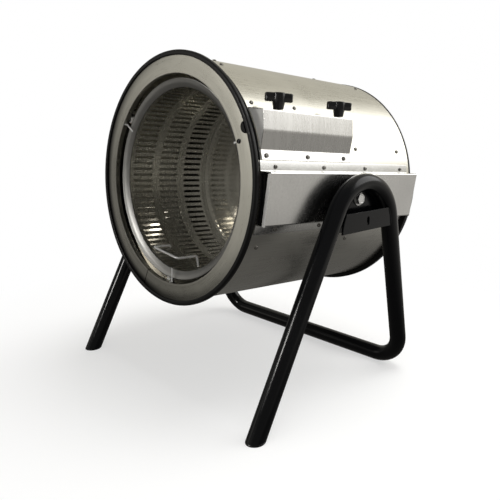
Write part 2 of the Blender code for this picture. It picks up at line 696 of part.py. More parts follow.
def make_roller(machine, index, angle):
    """Guide roller for the drum rim, on a pin held by a small bent bracket."""
    reach = RIM_OUTER_R + GAP + ROLLER_R
    at = (reach * math.sin(angle), 0.0, reach * math.cos(angle))
    profile = [(0.0024, 0.0), (ROLLER_R - 0.0008, 0.0), (ROLLER_R, 0.0008),
               (ROLLER_R, ROLLER_END - ROLLER_START - 0.0008),
               (ROLLER_R - 0.0008, ROLLER_END - ROLLER_START), (0.0024, ROLLER_END - ROLLER_START)]
    make_object("roller_%d" % index, turned(profile, segments=20), "white_nylon", machine,
                (at[0], ROLLER_START, at[2]))

    plate, wall = 0.0215, SHELL_R - SHEET - GAP - RING_SHEET - GAP - 0.0004
    section = [(0.1785, plate), (wall, plate), (wall, plate + 0.012), (wall - 0.0015, plate + 0.012),
               (wall - 0.0015, plate + 0.0015), (0.1785, plate + 0.0015)]
    out = Vector((math.sin(angle), 0.0, math.cos(angle)))
    across = Vector((math.cos(angle), 0.0, -math.sin(angle)))
    rings = [[out * r + Vector((0.0, y, 0.0)) + across * half for r, y in section]
             for half in (-0.006, 0.006)]
    bracket = make_object("roller_bracket_%d" % index, loft(rings), "zinc_steel", machine)
    pin = turned([(0.0, ROLLER_START - 0.0012), (0.0036, ROLLER_START - 0.0012),
                  (0.0036, ROLLER_START - GAP), (0.0021, ROLLER_START - GAP),
                  (0.0021, plate + 0.001), (0.0, plate + 0.001)], segments=12, centre=(at[0], at[2]))
    cut(bracket, pin, "join_pin_%d" % index, "UNION")


# ---------------------------------------------------------------- drive and rear fittings

def make_drive(machine):
    start = BULKHEAD_Y + RING_SHEET + GAP
    profile = [(SHAFT_R + GAP, start), (0.028, start), (0.028, start + 0.004), (0.017, start + 0.006),
               (0.017, start + 0.017), (SHAFT_R + GAP, start + 0.017)]
    make_object("shaft_bearing", turned(profile, segments=24), "grey_paint", machine)

    arm, foot, face = 0.045, 0.062, GEARBOX_Y[0] - GAP
    t = 0.002
    outline = [(-foot, start), (-arm, start), (-arm, face - t), (arm, face - t), (arm, start), (foot, start),
               (foot, start + t), (arm + t, start + t), (arm + t, face), (-arm - t, face),
               (-arm - t, start + t), (-foot, start + t)]
    bracket = make_object("motor_bracket", prism(outline, -0.036, 0.036, "z"), "zinc_steel", machine)
    hole = disc_outline(0.015, 24)
    cut(bracket, prism(hole, face - 0.01, face + 0.01), "cut_motor_bracket")

    half = GEARBOX_HALF
    body = prism(rounded_bar(2 * half, 2 * half, 0.006), *GEARBOX_Y)
    motor = make_object("gear_motor", body, "grey_paint", machine)
    can = turned([(0.0, GEARBOX_Y[1] - 0.003), (MOTOR_R, GEARBOX_Y[1] - 0.003), (MOTOR_R, MOTOR_END - 0.003),
                  (MOTOR_R - 0.004, MOTOR_END), (0.0, MOTOR_END)], segments=28)
    cut(motor, can, "join_motor_can", "UNION")
    nose = turned([(0.0, 0.3093), (0.006, 0.3093), (0.006, GEARBOX_Y[0] + 0.003),
                   (0.0, GEARBOX_Y[0] + 0.003)], segments=16)
    cut(motor, nose, "join_motor_shaft", "UNION")


def make_rear_fittings(machine):
    face = REAR_PANEL_Y + RING_SHEET
    x, z = INLET_AT
    inlet = make_object("power_inlet", prism(rectangle(x - 0.014, x + 0.014, z - 0.010, z + 0.010),
                                             face - 0.020, face + 0.002), "black_plastic", machine)
    flange = prism(rectangle(x - 0.0165, x + 0.0165, z - 0.0125, z + 0.0125), face + GAP, face + 0.003)
    cut(inlet, flange, "join_inlet_flange", "UNION")
    cut(inlet, prism(rectangle(x - 0.011, x + 0.011, z - 0.007, z + 0.007), face - 0.015, face + 0.01),
        "cut_inlet_socket")
    for i, (dx, dz) in enumerate(((-0.006, 0.002), (0.0, -0.002), (0.006, 0.002))):
        blade = rectangle(x + dx - 0.001, x + dx + 0.001, z + dz - 0.002, z + dz + 0.002)
        cut(inlet, prism(blade, face - 0.016, face - 0.002), "join_blade_%d" % (i + 1), "UNION")

    x, z = SWITCH_AT
    frame = make_object("switch_frame", prism(rectangle(x - 0.0095, x + 0.0095, z - 0.0135, z + 0.0135),
                                              face - 0.015, face + 0.002), "black_plastic", machine)
    bezel = prism(rectangle(x - 0.0115, x + 0.0115, z - 0.0155, z + 0.0155), face + GAP, face + 0.0025)
    cut(frame, bezel, "join_switch_bezel", "UNION")
    cut(frame, prism(rectangle(x - 0.0070, x + 0.0070, z - 0.0110, z + 0.0110), face - 0.010, face + 0.01),
        "cut_switch_frame")
    outline = [(0.0004, -0.0098), (0.0024, -0.0098), (0.0020, 0.0), (0.0048, 0.0094), (0.0026, 0.0100),
               (-0.0030, 0.0060), (-0.0050, 0.0), (-0.0030, -0.0060)]
    make_object("switch_rocker", prism(outline, -0.0066, 0.0066, "x"), "black_plastic", machine,
                (x, face - 0.001, z))


def main():
    clear_scene()
    base = make_empty("floor_frame", None, (0.0, PIVOT_Y, 0.0))
    make_stand(base)
    tilt_axis = make_empty("tilt_axis", base, (0.0, 0.0, PIVOT_Z), (-REST_TILT, 0.0, 0.0))
    machine = make_empty("machine_frame", tilt_axis, (0.0, -PIVOT_TO_RING, PIVOT_BELOW_AXIS))
    make_shells(machine)
    make_front_ring(machine)
    make_trims(machine)
    make_trim_clip(machine)
    make_panels(machine)
    for side, sign in (("right", 1.0), ("left", -1.0)):
        make_side_box(machine, side, sign)
        make_pivot(machine, side, sign)
    make_hood(machine)
    make_hood_screws(machine)
    make_knob(machine, "knob_front", KNOB_Y[0])
    make_knob(machine, "knob_rear", KNOB_Y[1])
    make_drum(make_empty("drum_axis", machine, (0.0, 0.0, 0.0)))
    for index, angle in enumerate(ROLLER_ANGLES, 1):
        make_roller(machine, index, angle)
    make_drive(machine)
    make_rear_fittings(machine)


main()
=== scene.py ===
"""Detailed visual model of the rotary drum tumbler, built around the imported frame.

Metres, +Z up. "Machine" coordinates are x across, y along the drum axis from the front ring's face
towards the rear, z up from the drum axis; MACHINE takes them to the shared frame.
"""
import json
import random
from math import asin, atan2, cos, degrees, exp, hypot, pi, radians, sin, sqrt, tan, tau as TAU

import bmesh
import bpy
from mathutils import Matrix, Vector


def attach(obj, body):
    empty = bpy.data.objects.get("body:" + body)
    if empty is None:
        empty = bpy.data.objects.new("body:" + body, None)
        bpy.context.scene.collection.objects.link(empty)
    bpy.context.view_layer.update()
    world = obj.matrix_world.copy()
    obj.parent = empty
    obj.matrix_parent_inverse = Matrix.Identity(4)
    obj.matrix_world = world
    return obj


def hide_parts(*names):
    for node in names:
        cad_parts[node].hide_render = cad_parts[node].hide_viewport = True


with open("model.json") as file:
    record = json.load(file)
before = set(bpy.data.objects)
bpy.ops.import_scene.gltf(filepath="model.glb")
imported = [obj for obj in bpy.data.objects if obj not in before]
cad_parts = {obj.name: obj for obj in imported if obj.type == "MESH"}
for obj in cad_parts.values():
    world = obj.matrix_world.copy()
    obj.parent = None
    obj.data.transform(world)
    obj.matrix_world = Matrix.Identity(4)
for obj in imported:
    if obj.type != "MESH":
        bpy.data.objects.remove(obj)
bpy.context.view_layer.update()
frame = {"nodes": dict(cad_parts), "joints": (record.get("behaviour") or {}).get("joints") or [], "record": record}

GAP = 0.0003    # clearance kept between neighbouring pieces
SHEET = 0.0015  # thickness of the pressed steel parts
RNG = random.Random(7)

JOINTS = {joint["name"]: joint for joint in frame["joints"]}


def axis_frame(joint_name):
    """Matrix with its origin on a joint and its Y along the joint's axis."""
    joint = JOINTS[joint_name]
    y = Vector(joint["axis"]).normalized()
    x = Vector((1.0, 0.0, 0.0))
    z = x.cross(y)
    basis = Matrix((x, y, z)).transposed().to_4x4()
    return Matrix.Translation(Vector(joint["pos_m"])) @ basis


MACHINE = axis_frame("drum_spin")
TO_MACHINE = MACHINE.inverted()
PIVOT = Vector(JOINTS["tilt"]["pos_m"])
PIVOT_LOCAL = TO_MACHINE @ PIVOT
FLOOR_FRAME = Matrix.Translation((0.0, PIVOT.y, 0.0))


def local(node):
    """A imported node's points in machine coordinates."""
    return [TO_MACHINE @ v.co for v in frame["nodes"][node].data.vertices]


def ring_size(node):
    """(smallest radius, largest radius, lowest y, highest y) of a node about the drum axis."""
    points = local(node)
    radii = [hypot(p.x, p.z) for p in points]
    along = [p.y for p in points]
    return min(radii), max(radii), min(along), max(along)


def span(node, axis):
    values = [p[axis] for p in local(node)]
    return min(values), max(values)


# ---------------------------------------------------------------- mesh tools

def loft(rings, closed_ends=True, loop=False):
    bm = bmesh.new()
    grid = [[bm.verts.new(point) for point in ring] for ring in rings]
    count = len(grid[0])
    pairs = list(zip(grid, grid[1:]))
    if loop:
        pairs.append((grid[-1], grid[0]))
    for first, second in pairs:
        for i in range(count):
            j = (i + 1) % count
            bm.faces.new((first[i], first[j], second[j], second[i]))
    if closed_ends and not loop:
        bm.faces.new(grid[0])
        bm.faces.new(grid[-1])
    return bm


def turned(profile, start=0.0, end=TAU, segments=224, centre=(0.0, 0.0)):
    """Revolve a closed (radius, y) profile about an axis along y; angles run from +X to +Z."""
    full = abs(end - start - TAU) < 1e-9
    steps = segments if full else max(2, round(segments * (end - start) / TAU))
    rings = []
    for i in range(steps if full else steps + 1):
        angle = start + (end - start) * i / steps
        c, s = cos(angle), sin(angle)
        rings.append([(centre[0] + r * c, y, centre[1] + r * s) for r, y in profile])
    bm = loft(rings, loop=full)
    bmesh.ops.remove_doubles(bm, verts=bm.verts, dist=1e-7)
    bmesh.ops.dissolve_degenerate(bm, edges=bm.edges, dist=1e-7)
    return bm


# (u, v) of an outline and w along its axis, as x, y, z
PLACE = {
    "x": lambda u, v, w: (w, u, v),
    "y": lambda u, v, w: (u, w, v),
    "z": lambda u, v, w: (u, v, w),
}


def prism(outline, start, end, axis="y"):
    place = PLACE[axis]
    return loft([[place(u, v, w) for u, v in outline] for w in (start, end)])


def stack(sections, outline, axis="y"):
    """Rings of outline(value) at places along an axis; sections are (value, place) pairs."""
    place = PLACE[axis]
    return [[place(u, v, w) for u, v in outline(value)] for value, w in sections]


def spoke(u, v, angle):
    """Direction at an angle from u towards v."""
    return u * cos(angle) + v * sin(angle)


def arc(centre, radius, start, end, steps):
    return [(centre[0] + radius * cos(start + (end - start) * i / steps),
             centre[1] + radius * sin(start + (end - start) * i / steps)) for i in range(steps + 1)]


def circle(radius, sides, centre=(0.0, 0.0)):
    return arc(centre, radius, 0.0, TAU, sides)[:-1]


def stadium(half_length, radius, centre=(0.0, 0.0), steps=8, upright=False):
    """A slot's outline: two half circles joined by straight sides."""
    straight = half_length - radius
    points = [(straight + u, v) for u, v in arc((0.0, 0.0), radius, -pi / 2, pi / 2, steps)]
    points += [(u - straight, v) for u, v in arc((0.0, 0.0), radius, pi / 2, 1.5 * pi, steps)]
    if upright:
        points = [(-v, u) for u, v in points]
    return [(centre[0] + u, centre[1] + v) for u, v in points]


def rounded_box(length, width, radius, steps=6, centre=(0.0, 0.0)):
    u, v = length / 2 - radius, width / 2 - radius
    outline = []
    for k, (cu, cv) in enumerate(((u, v), (-u, v), (-u, -v), (u, -v))):
        outline += arc((centre[0] + cu, centre[1] + cv), radius, k * pi / 2, (k + 1) * pi / 2, steps)
    return outline


def fillet(a, corner, b, radius, steps=6):
    """Points of a rounded corner between two straight runs, in 2D or 3D."""
    a, corner, b = Vector(a), Vector(corner), Vector(b)
    into, out = (corner - a).normalized(), (b - corner).normalized()
    half = into.angle(out) / 2
    if half < 1e-4:
        return [corner]
    reach = radius * tan(half)
    start, end = corner - into * reach, corner + out * reach
    centre = corner + (out - into).normalized() * (radius / cos(half))
    return [centre + (start - centre).lerp(end - centre, i / steps).normalized() * radius
            for i in range(steps + 1)]


def rounded_path(corners, radii, closed=False, steps=6):
    """Corner points with each inner corner rounded to its radius (0 keeps it sharp)."""
    points = []
    count = len(corners)
    for i, (corner, radius) in enumerate(zip(corners, radii)):
        if radius <= 0.0 or (not closed and i in (0, count - 1)):
            points.append(Vector(corner))
        else:
            points += fillet(corners[i - 1], corner, corners[(i + 1) % count], radius, steps)
    return points


def thickened(path, thickness):
    """Closed outline of a sheet that lies to the left of an open 2D path."""
    path = [Vector(p) for p in path]
    inner = []
    for i, point in enumerate(path):
        ahead = (path[min(i + 1, len(path) - 1)] - path[min(i, len(path) - 2)]).normalized()
        behind = (path[max(i, 1)] - path[max(i - 1, 0)]).normalized()
        mean = (ahead + behind).normalized()
        normal = Vector((-mean.y, mean.x))
        inner.append(point + normal * thickness / max(0.4, mean.dot(ahead)))
    return path + inner[::-1]


def tube_rings(path, radius, sides, ripple=None):
    points = [Vector(p) for p in path]
    tangents = []
    for i in range(len(points)):
        ahead = points[min(i + 1, len(points) - 1)] - points[min(i, len(points) - 2)]
        behind = points[max(i, 1)] - points[max(i - 1, 0)]
        tangents.append((ahead.normalized() + behind.normalized()).normalized())
    normal = tangents[0].orthogonal().normalized()
    rings = []
    for i, (point, tangent) in enumerate(zip(points, tangents)):
        normal = (normal - tangent * normal.dot(tangent)).normalized()
        side = tangent.cross(normal)
        r = radius * (ripple(i) if ripple else 1.0)
        rings.append([point + r * spoke(normal, side, TAU * k / sides) for k in range(sides)])
    return rings


def merge(target, source):
    """Copy one bmesh into another and free it."""
    lookup = {v: target.verts.new(v.co) for v in source.verts}
    for face in source.faces:
        target.faces.new([lookup[v] for v in face.verts])
    source.free()
    return target


def to_mesh(bm, name):
    bmesh.ops.remove_doubles(bm, verts=bm.verts, dist=1e-6)
    bmesh.ops.recalc_face_normals(bm, faces=bm.faces)
    mesh = bpy.data.meshes.new(name)
    bm.to_mesh(mesh)
    bm.free()
    return mesh


def applied(obj):
    """Replace an object's mesh with the result of its modifiers."""
    graph = bpy.context.evaluated_depsgraph_get()
    mesh = bpy.data.meshes.new_from_object(obj.evaluated_get(graph))
    obj.modifiers.clear()
    obj.data = mesh


def carve(obj, cutters, operation="DIFFERENCE"):
    for bm in cutters:
        helper = bpy.data.objects.new("helper", to_mesh(bm, "helper"))
        bpy.context.scene.collection.objects.link(helper)
        modifier = obj.modifiers.new("cut", "BOOLEAN")
        modifier.operation = operation
        modifier.solver = "EXACT"
        modifier.object = helper
        applied(obj)
        bpy.data.objects.remove(helper, do_unlink=True)


def add(name, bm, look, replaces=(), body="housing", place=MACHINE, slot=None, sharp=32.0, bevel=0.0,
        cutters=(), joins=()):
    """Turn machine-frame geometry into a piece that rides on a body; the slot it is given is not used."""
    slot = slot or LOOK_SLOT[look.name]
    obj = bpy.data.objects.new(name, to_mesh(bm, name))
    bpy.context.scene.collection.objects.link(obj)
    if joins:
        carve(obj, joins, "UNION")
    if cutters:
        carve(obj, cutters)
    if bevel:
        modifier = obj.modifiers.new("edges", "BEVEL")
        modifier.width = bevel
        modifier.segments = 2
        modifier.limit_method = "ANGLE"
        modifier.angle_limit = radians(35.0)
        applied(obj)
    mesh = obj.data
    mesh.transform(place)
    mesh.materials.clear()
    mesh.materials.append(look)
    mesh.shade_smooth()
    mesh.set_sharp_from_angle(angle=radians(sharp))
    if bevel:
        obj.modifiers.new("shading", "WEIGHTED_NORMAL").keep_sharp = True
    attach(obj, body)
    if replaces:
        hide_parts(*replaces)
    return obj


# ---------------------------------------------------------------- materials

class Nodes:
    """Adds nodes to a tree. Lower-case keywords set properties; others feed inputs, I0 by number."""

    def __init__(self, tree):
        self.tree = tree

    def node(self, kind, out=0, **values):
        node = self.tree.nodes.new("ShaderNode" + kind)
        for key in filter(str.islower, values):
            setattr(node, key, values[key])
        for key, value in values.items():
            if not key.islower():
                by_number = key[0] == "I" and key[1:].isdigit()
                self.feed(node.inputs[int(key[1:]) if by_number else key.replace("_", " ")], value)
        return node.outputs[out] if node.outputs else None

    def feed(self, socket, value):
        if isinstance(value, bpy.types.NodeSocket):
            self.tree.links.new(value, socket)
        else:
            socket.default_value = value


class Look(Nodes):
    """Builds one procedural material node by node."""

    def __init__(self, name):
        self.material = bpy.data.materials.new(name)
        self.material.use_nodes = True
        super().__init__(self.material.node_tree)
        self.shader = self.tree.nodes["Principled BSDF"]

    def set(self, **values):
        for key, value in values.items():
            self.feed(self.shader.inputs[key.replace("_", " ")], value)

    def machine_space(self):
        """Object coordinates turned into the machine frame."""
        coords = self.node("TexCoord", out=3)
        return self.node("Mapping", vector_type="TEXTURE", Vector=coords, Location=MACHINE.to_translation(),
                         Rotation=MACHINE.to_euler())

    def math(self, operation, a, b=0.0, c=0.0):
        return self.node("Math", operation=operation, I0=a, I1=b, I2=c)

    def polar(self, space):
        """Distance from the drum axis, and the direction away from it."""
        flat = self.node("VectorMath", operation="MULTIPLY", I0=space, I1=(1.0, 0.0, 1.0))
        return (self.node("VectorMath", out=1, operation="LENGTH", I0=flat),
                self.node("VectorMath", operation="NORMALIZE", I0=flat))

    def dot(self, vector, direction):
        return self.node("VectorMath", out=1, operation="DOT_PRODUCT", I0=vector, I1=direction)

    def around(self, space, radial, angular, axial):
        """Space that runs round the drum axis: radius, direction and depth, each with its own scale."""
        radius, direction = self.polar(space)
        split = self.node("SeparateXYZ", Vector=direction)
        depth = self.node("SeparateXYZ", out=1, Vector=space)
        offset = self.math("ADD", self.math("MULTIPLY", radius, radial), self.math("MULTIPLY", depth, axial))
        return self.node("CombineXYZ", X=self.math("MULTIPLY", split, angular), Y=offset,
                         Z=self.math("MULTIPLY", split.node.outputs[2], angular))

    def noise(self, vector, scale, detail=4.0, roughness=0.6, distortion=0.0):
        return self.node("TexNoise", Vector=vector, Scale=scale, Detail=detail, Roughness=roughness,
                         Distortion=distortion)

    def spread(self, value, low, high, source_low, source_high):
        return self.node("MapRange", Value=value, From_Min=source_low, From_Max=source_high, To_Min=low,
                         To_Max=high)

    def blend(self, factor, a, b):
        """Mix of two colours; each is a socket or an (r, g, b) tuple."""
        a, b = (tuple(c) + (1.0,) if isinstance(c, tuple) else c for c in (a, b))
        return self.node("Mix", out=2, data_type="RGBA", I0=factor, I6=a, I7=b)

    def bump(self, height, distance, strength=1.0, **normal):
        return self.node("Bump", Height=height, Distance=distance, Strength=strength, **normal)

    def mixed(self, a, b, share):
        return self.math("ADD", self.math("MULTIPLY", a, 1.0 - share), self.math("MULTIPLY", b, share))


def times(color, factor, plus=0.0):
    return tuple(min(1.0, c * factor + plus) for c in color)


def brushed_metal(name, color, roughness, grain, grain_gain, cloud_gain, waviness=0.0, shade_below=None,
                  painted_dark_edge=None, metal=1.0):
    """Rolled and brushed sheet: streaks along the grain, cloudy smudges and a slightly uneven surface.

    shade_below (foot, top, share) darkens the sheet between two heights: painted shade. The dark edge band (inner,
    outer, direction) blackens it between two radii on the side it faces: painted shade and dark reflection.
    """
    look = Look(name)
    space = look.machine_space()
    if grain == "around":
        fine = look.around(space, 1500.0, 14.0, 1500.0)
        coarse = look.around(space, 260.0, 5.0, 260.0)
    else:
        across, along = 1300.0, 26.0
        sizes = {"along": (across, along, across), "upright": (across, across, along),
                 "crosswise": (along, across, across)}[grain]
        fine = look.node("VectorMath", operation="MULTIPLY", I0=space, I1=sizes)
        coarse = look.node("VectorMath", operation="MULTIPLY", I0=space, I1=tuple(v / 6.0 for v in sizes))
    streak = look.noise(fine, 1.0, 3.0, 0.65)
    band = look.noise(coarse, 1.0, 5.0, 0.7)
    cloud = look.noise(space, 9.0, 5.0, 0.62, 0.4)
    grain_mix = look.mixed(streak, band, 0.55)
    shade = look.spread(look.mixed(grain_mix, cloud, 0.35), 0.0, 1.0, 0.36, 0.64)
    base = look.blend(shade, times(color, 0.86), times(color, 1.1))
    # Painted shade: between two heights the sheet takes a darker copy of its own colour.
    if shade_below:
        foot, top, share = shade_below
        z = look.node("SeparateXYZ", out=2, Vector=space)
        outside = look.math("ADD", look.spread(z, 0.0, 1.0, top - 0.003, top + 0.003),
                            look.spread(z, 1.0, 0.0, foot - 0.0004, foot + 0.0004))
        darker = look.blend(shade, times(color, share * 0.84), times(color, share * 1.12))
        base = look.blend(outside, darker, base)
    # Painted shade: the face turns black between two radii on one side, standing in for shade and dark reflection
    # beside the trim.
    if painted_dark_edge:
        inner, outer, direction = painted_dark_edge
        radius, heading = look.polar(space)
        side = look.spread(look.dot(heading, direction), 0.0, 1.0, -0.6, 0.8)
        edge = look.math("MULTIPLY", look.spread(radius, 0.5, 1.0, inner, outer), side)
        base = look.blend(edge, base, (0.008, 0.0075, 0.007))
    low, high = roughness - grain_gain / 2, roughness + grain_gain / 2
    normal = look.bump(streak, 0.00002, 0.45)
    if waviness:
        normal = look.bump(look.noise(space, 5.0, 1.5, 0.45), waviness, Normal=normal)
    look.set(
        Base_Color=base,
        Metallic=metal,
        Roughness=look.math("ADD", look.spread(grain_mix, low, high, 0.35, 0.65),
                            look.spread(cloud, -cloud_gain / 2, cloud_gain / 2, 0.3, 0.7)),
        Normal=normal,
    )
    return look.material


def enamel(name, color, roughness, coat, gloss):
    """Stoved black enamel on tube and plate: orange peel, settled dust and small rubbed spots."""
    look = Look(name)
    space = look.machine_space()
    peel = look.noise(space, 620.0, 2.0, 0.5)
    cloud = look.noise(space, 16.0, 6.0, 0.68)
    speck = look.noise(space, 240.0, 3.0, 0.75)
    dust = look.math("MULTIPLY", look.spread(cloud, 0.0, 1.0, 0.45, 0.75),
                     look.spread(speck, 0.0, 1.0, 0.45, 0.8))
    look.set(
        Base_Color=look.blend(dust, color, times(color, 1.9, 0.004)),
        Roughness=look.spread(cloud, roughness - 0.06, roughness + 0.1, 0.3, 0.7),
        Coat_Weight=coat,
        Coat_Roughness=0.12,
        Specular_IOR_Level=gloss,
        Normal=look.bump(peel, 0.00008, 0.35),
    )
    return look.material


def moulded(name, color, roughness, grain, depth, gloss):
    """Moulded plastic or rubber: fine spark-eroded texture, handling shine and pale scuffs."""
    look = Look(name)
    space = look.machine_space()
    texture = look.noise(space, grain, 3.0, 0.55)
    pit = look.node("TexVoronoi", Vector=space, Scale=grain * 0.6)
    cloud = look.noise(space, 34.0, 5.0, 0.65)
    scuff = look.spread(look.noise(space, 90.0, 7.0, 0.8, 1.2), 0.0, 1.0, 0.56, 0.8)
    look.set(
        Base_Color=look.blend(look.math("MULTIPLY", scuff, 0.5), color, times(color, 2.0, 0.004)),
        Roughness=look.spread(cloud, roughness - 0.08, roughness + 0.08, 0.3, 0.7),
        Specular_IOR_Level=gloss,
        Normal=look.bump(look.mixed(texture, pit, 0.4), depth, 0.5),
    )
    return look.material


def plated(name, color, roughness, metal=1.0):
    """Zinc-plated steel: faint crystal mottling, duller patches and turning marks."""
    look = Look(name)
    space = look.machine_space()
    crystal = look.node("TexVoronoi", Vector=space, Scale=420.0)
    cloud = look.noise(space, 70.0, 5.0, 0.7)
    fine = look.noise(space, 2600.0, 2.0, 0.6)
    shade = look.mixed(crystal, cloud, 0.6)
    look.set(
        Base_Color=look.blend(look.spread(shade, 0.0, 1.0, 0.3, 0.7), times(color, 0.8), color),
        Metallic=metal,
        Roughness=look.spread(cloud, roughness - 0.07, roughness + 0.11, 0.3, 0.7),
        Normal=look.bump(fine, 0.00002, 0.5),
    )
    return look.material


def nylon(name):
    """White moulded nylon: slightly translucent, with faint clouds."""
    look = Look(name)
    space = look.machine_space()
    fine = look.noise(space, 1500.0, 3.0, 0.6)
    cloud = look.noise(space, 60.0, 4.0, 0.6)
    look.set(
        Base_Color=look.blend(look.spread(cloud, 0.0, 1.0, 0.3, 0.7), (0.66, 0.64, 0.58), (0.8, 0.79, 0.75)),
        Roughness=look.spread(cloud, 0.38, 0.52, 0.3, 0.7),
        Subsurface_Weight=0.12,
        Subsurface_Radius=(0.004, 0.003, 0.002),
        Normal=look.bump(fine, 0.00004, 0.5),
    )
    return look.material


SHELL = brushed_metal("steel_shell_sheet", (0.69, 0.672, 0.6), 0.3, "along", 0.08, 0.07, 0.0003)
LOWER = brushed_metal("steel_lower_sheet", (0.64, 0.63, 0.59), 0.3, "along", 0.1, 0.09, 0.00035)
# The ring face's dark band near its outer edge, on the lower left, is painted shade.
RING = brushed_metal("steel_ring_face", (0.53, 0.52, 0.465), 0.3, "around", 0.09, 0.07,
                     painted_dark_edge=(0.197, 0.2085, (-0.84, 0.0, -0.54)))
BOX = brushed_metal("steel_box_sheet", (0.665, 0.662, 0.65), 0.23, "crosswise", 0.07, 0.09, 0.00008)
# The hood face between its flange bend and its crease is darkened: painted shade.
HOOD = brushed_metal("steel_hood_sheet", (0.74, 0.73, 0.71), 0.27, "upright", 0.08, 0.08, 0.00006,
                     (0.0642, 0.093, 0.56))
DRUM = brushed_metal("steel_drum_sheet", (0.64, 0.635, 0.6), 0.28, "around", 0.09, 0.07, 0.0001)
RIM = brushed_metal("steel_drum_rim", (0.28, 0.277, 0.266), 0.4, "around", 0.07, 0.05)
# Hood end plates and box lips: real steel sheet, given a near-white, mostly non-metallic copy of the steel as
# painted light.
FOLDED = brushed_metal("steel_pale_lit_sheet", (0.9, 0.89, 0.86), 0.55, "crosswise", 0.06, 0.05, metal=0.2)
MIRROR = brushed_metal("steel_polished", (0.7, 0.68, 0.62), 0.16, "around", 0.05, 0.05, 0.00006)
# Wire lifter and retainer fingers: real bright steel, given a near-white, mostly non-metallic finish as painted
# light so they read bright inside the dim drum.
WIRE = plated("steel_wire_pale_lit", (0.97, 0.97, 0.96), 0.3, 0.25)
ZINC = plated("zinc_plated_steel", (0.62, 0.62, 0.61), 0.3)
BRIGHT = plated("bright_fastener", (0.82, 0.82, 0.82), 0.22)
DARKZINC = plated("screw_steel", (0.34, 0.33, 0.31), 0.32)
BLACK = enamel("black_enamel", (0.0018, 0.002, 0.0028), 0.15, 0.0, 0.24)
RUBBER = moulded("black_rubber_trim", (0.004, 0.004, 0.0042), 0.4, 1400.0, 0.00005, 0.25)
PLASTIC = moulded("black_moulding", (0.0045, 0.0045, 0.005), 0.24, 2100.0, 0.00004, 0.45)
PAINT = enamel("grey_enamel", (0.17, 0.18, 0.19), 0.42, 0.1, 0.5)
NYLON = nylon("white_nylon_moulding")

# looks by material slot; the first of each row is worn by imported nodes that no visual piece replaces
LOOKS = {
    "black_steel": (BLACK,), "black_rubber": (RUBBER,), "black_plastic": (PLASTIC,), "grey_paint": (PAINT,),
    "brushed_steel": (SHELL, LOWER, RING, BOX, HOOD, DRUM, RIM, FOLDED), "polished_steel": (MIRROR, WIRE),
    "zinc_steel": (ZINC, BRIGHT, DARKZINC), "white_nylon": (NYLON,),
}
LOOK_SLOT = {look.name: slot for slot, looks in LOOKS.items() for look in looks}


# ---------------------------------------------------------------- fasteners

def screw_geometry(base, normal, radius, height, turn=0.0, sides=24):
    """Pan head with a cross recess, as a closed solid standing on a surface."""
    normal = Vector(normal).normalized()
    u = normal.orthogonal().normalized()
    v = normal.cross(u)
    u, v = u * cos(turn) + v * sin(turn), v * cos(turn) - u * sin(turn)
    base = Vector(base)
    sections = ((1.0, 0.0), (1.0, 0.45), (0.94, 0.72), (0.8, 0.9), (0.56, 1.0), (0.3, 1.0), (0.14, 1.0))
    rings = []
    for r, h in sections:
        ring = []
        for k in range(sides):
            angle = TAU * k / sides
            z = h * height
            arm = abs(cos(2.0 * angle))
            if r <= 0.14:
                z -= 0.62 * height
            elif r <= 0.3:
                z -= 0.6 * height if arm > 0.8 else 0.0
            elif r <= 0.56:
                z -= 0.42 * height if arm > 0.93 else 0.0
            ring.append(base + radius * r * spoke(u, v, angle) + normal * z)
        rings.append(ring)
    return loft(rings)


def screw_row(name, places, radius=0.0036, height=0.0021, body="housing", look=DARKZINC, replaces=()):
    """Several like screws on one body as one piece; places are (point, normal) pairs."""
    bm = bmesh.new()
    for point, normal in places:
        merge(bm, screw_geometry(point, normal, radius, height, RNG.uniform(0.0, 1.5)))
    add(name, bm, look, replaces, body, slot="zinc_steel", sharp=38.0)


def on_radius(y, degrees, radius):
    """Point at a radius round the drum axis, at an angle above +X, and the outward normal there."""
    angle = radians(degrees)
    normal = Vector((cos(angle), 0.0, sin(angle)))
    return normal * radius + Vector((0.0, y, 0.0)), normal


# ---------------------------------------------------------------- stand

TUBE_R = 0.0155
STAND_HALF_WIDTH = 0.256
HAIRPIN_R = 0.083
HAIRPIN_TOP = 0.385
FRONT_LEAN = radians(28.0)
REAR_LEAN = radians(13.0)
REAR_BEND_R = 0.057
FOOT_SOLE = 0.0035
PLATE_X, PLATE_THICK = 0.243, 0.003
BOLT_HOLE_R = 0.0055
STRAP_X = 0.2655
STRAP_BOTTOM, STRAP_TOP = 0.304, 0.337
HAIRPIN_Z = HAIRPIN_TOP - HAIRPIN_R
LEG_UP = Vector((0.0, sin(FRONT_LEAN), cos(FRONT_LEAN)))


def foot_point(sign):
    y = -HAIRPIN_Z * tan(FRONT_LEAN) - HAIRPIN_R / cos(FRONT_LEAN)
    return Vector((sign * STAND_HALF_WIDTH, y, 0.0))


def stand_path():
    x = STAND_HALF_WIDTH
    half = [tuple(foot_point(1.0))]
    for y, z in arc((0.0, HAIRPIN_Z), HAIRPIN_R, pi - FRONT_LEAN, REAR_LEAN, 44):
        half.append((x, y, z))
    bar_y = (HAIRPIN_Z - TUBE_R) * tan(REAR_LEAN) + HAIRPIN_R / cos(REAR_LEAN)
    corner = Vector((x, bar_y, TUBE_R))
    down = Vector((0.0, sin(REAR_LEAN), -cos(REAR_LEAN)))
    across = Vector((-1.0, 0.0, 0.0))
    centre = corner - down * REAR_BEND_R + across * REAR_BEND_R
    for i in range(21):
        half.append(tuple(centre + REAR_BEND_R * spoke(-across, down, pi / 2 * i / 20)))
    return half + [(-x, y, z) for x, y, z in reversed(half)]


def level(ring, height):
    return [p + LEG_UP * ((height - p.z) / LEG_UP.z) for p in ring]


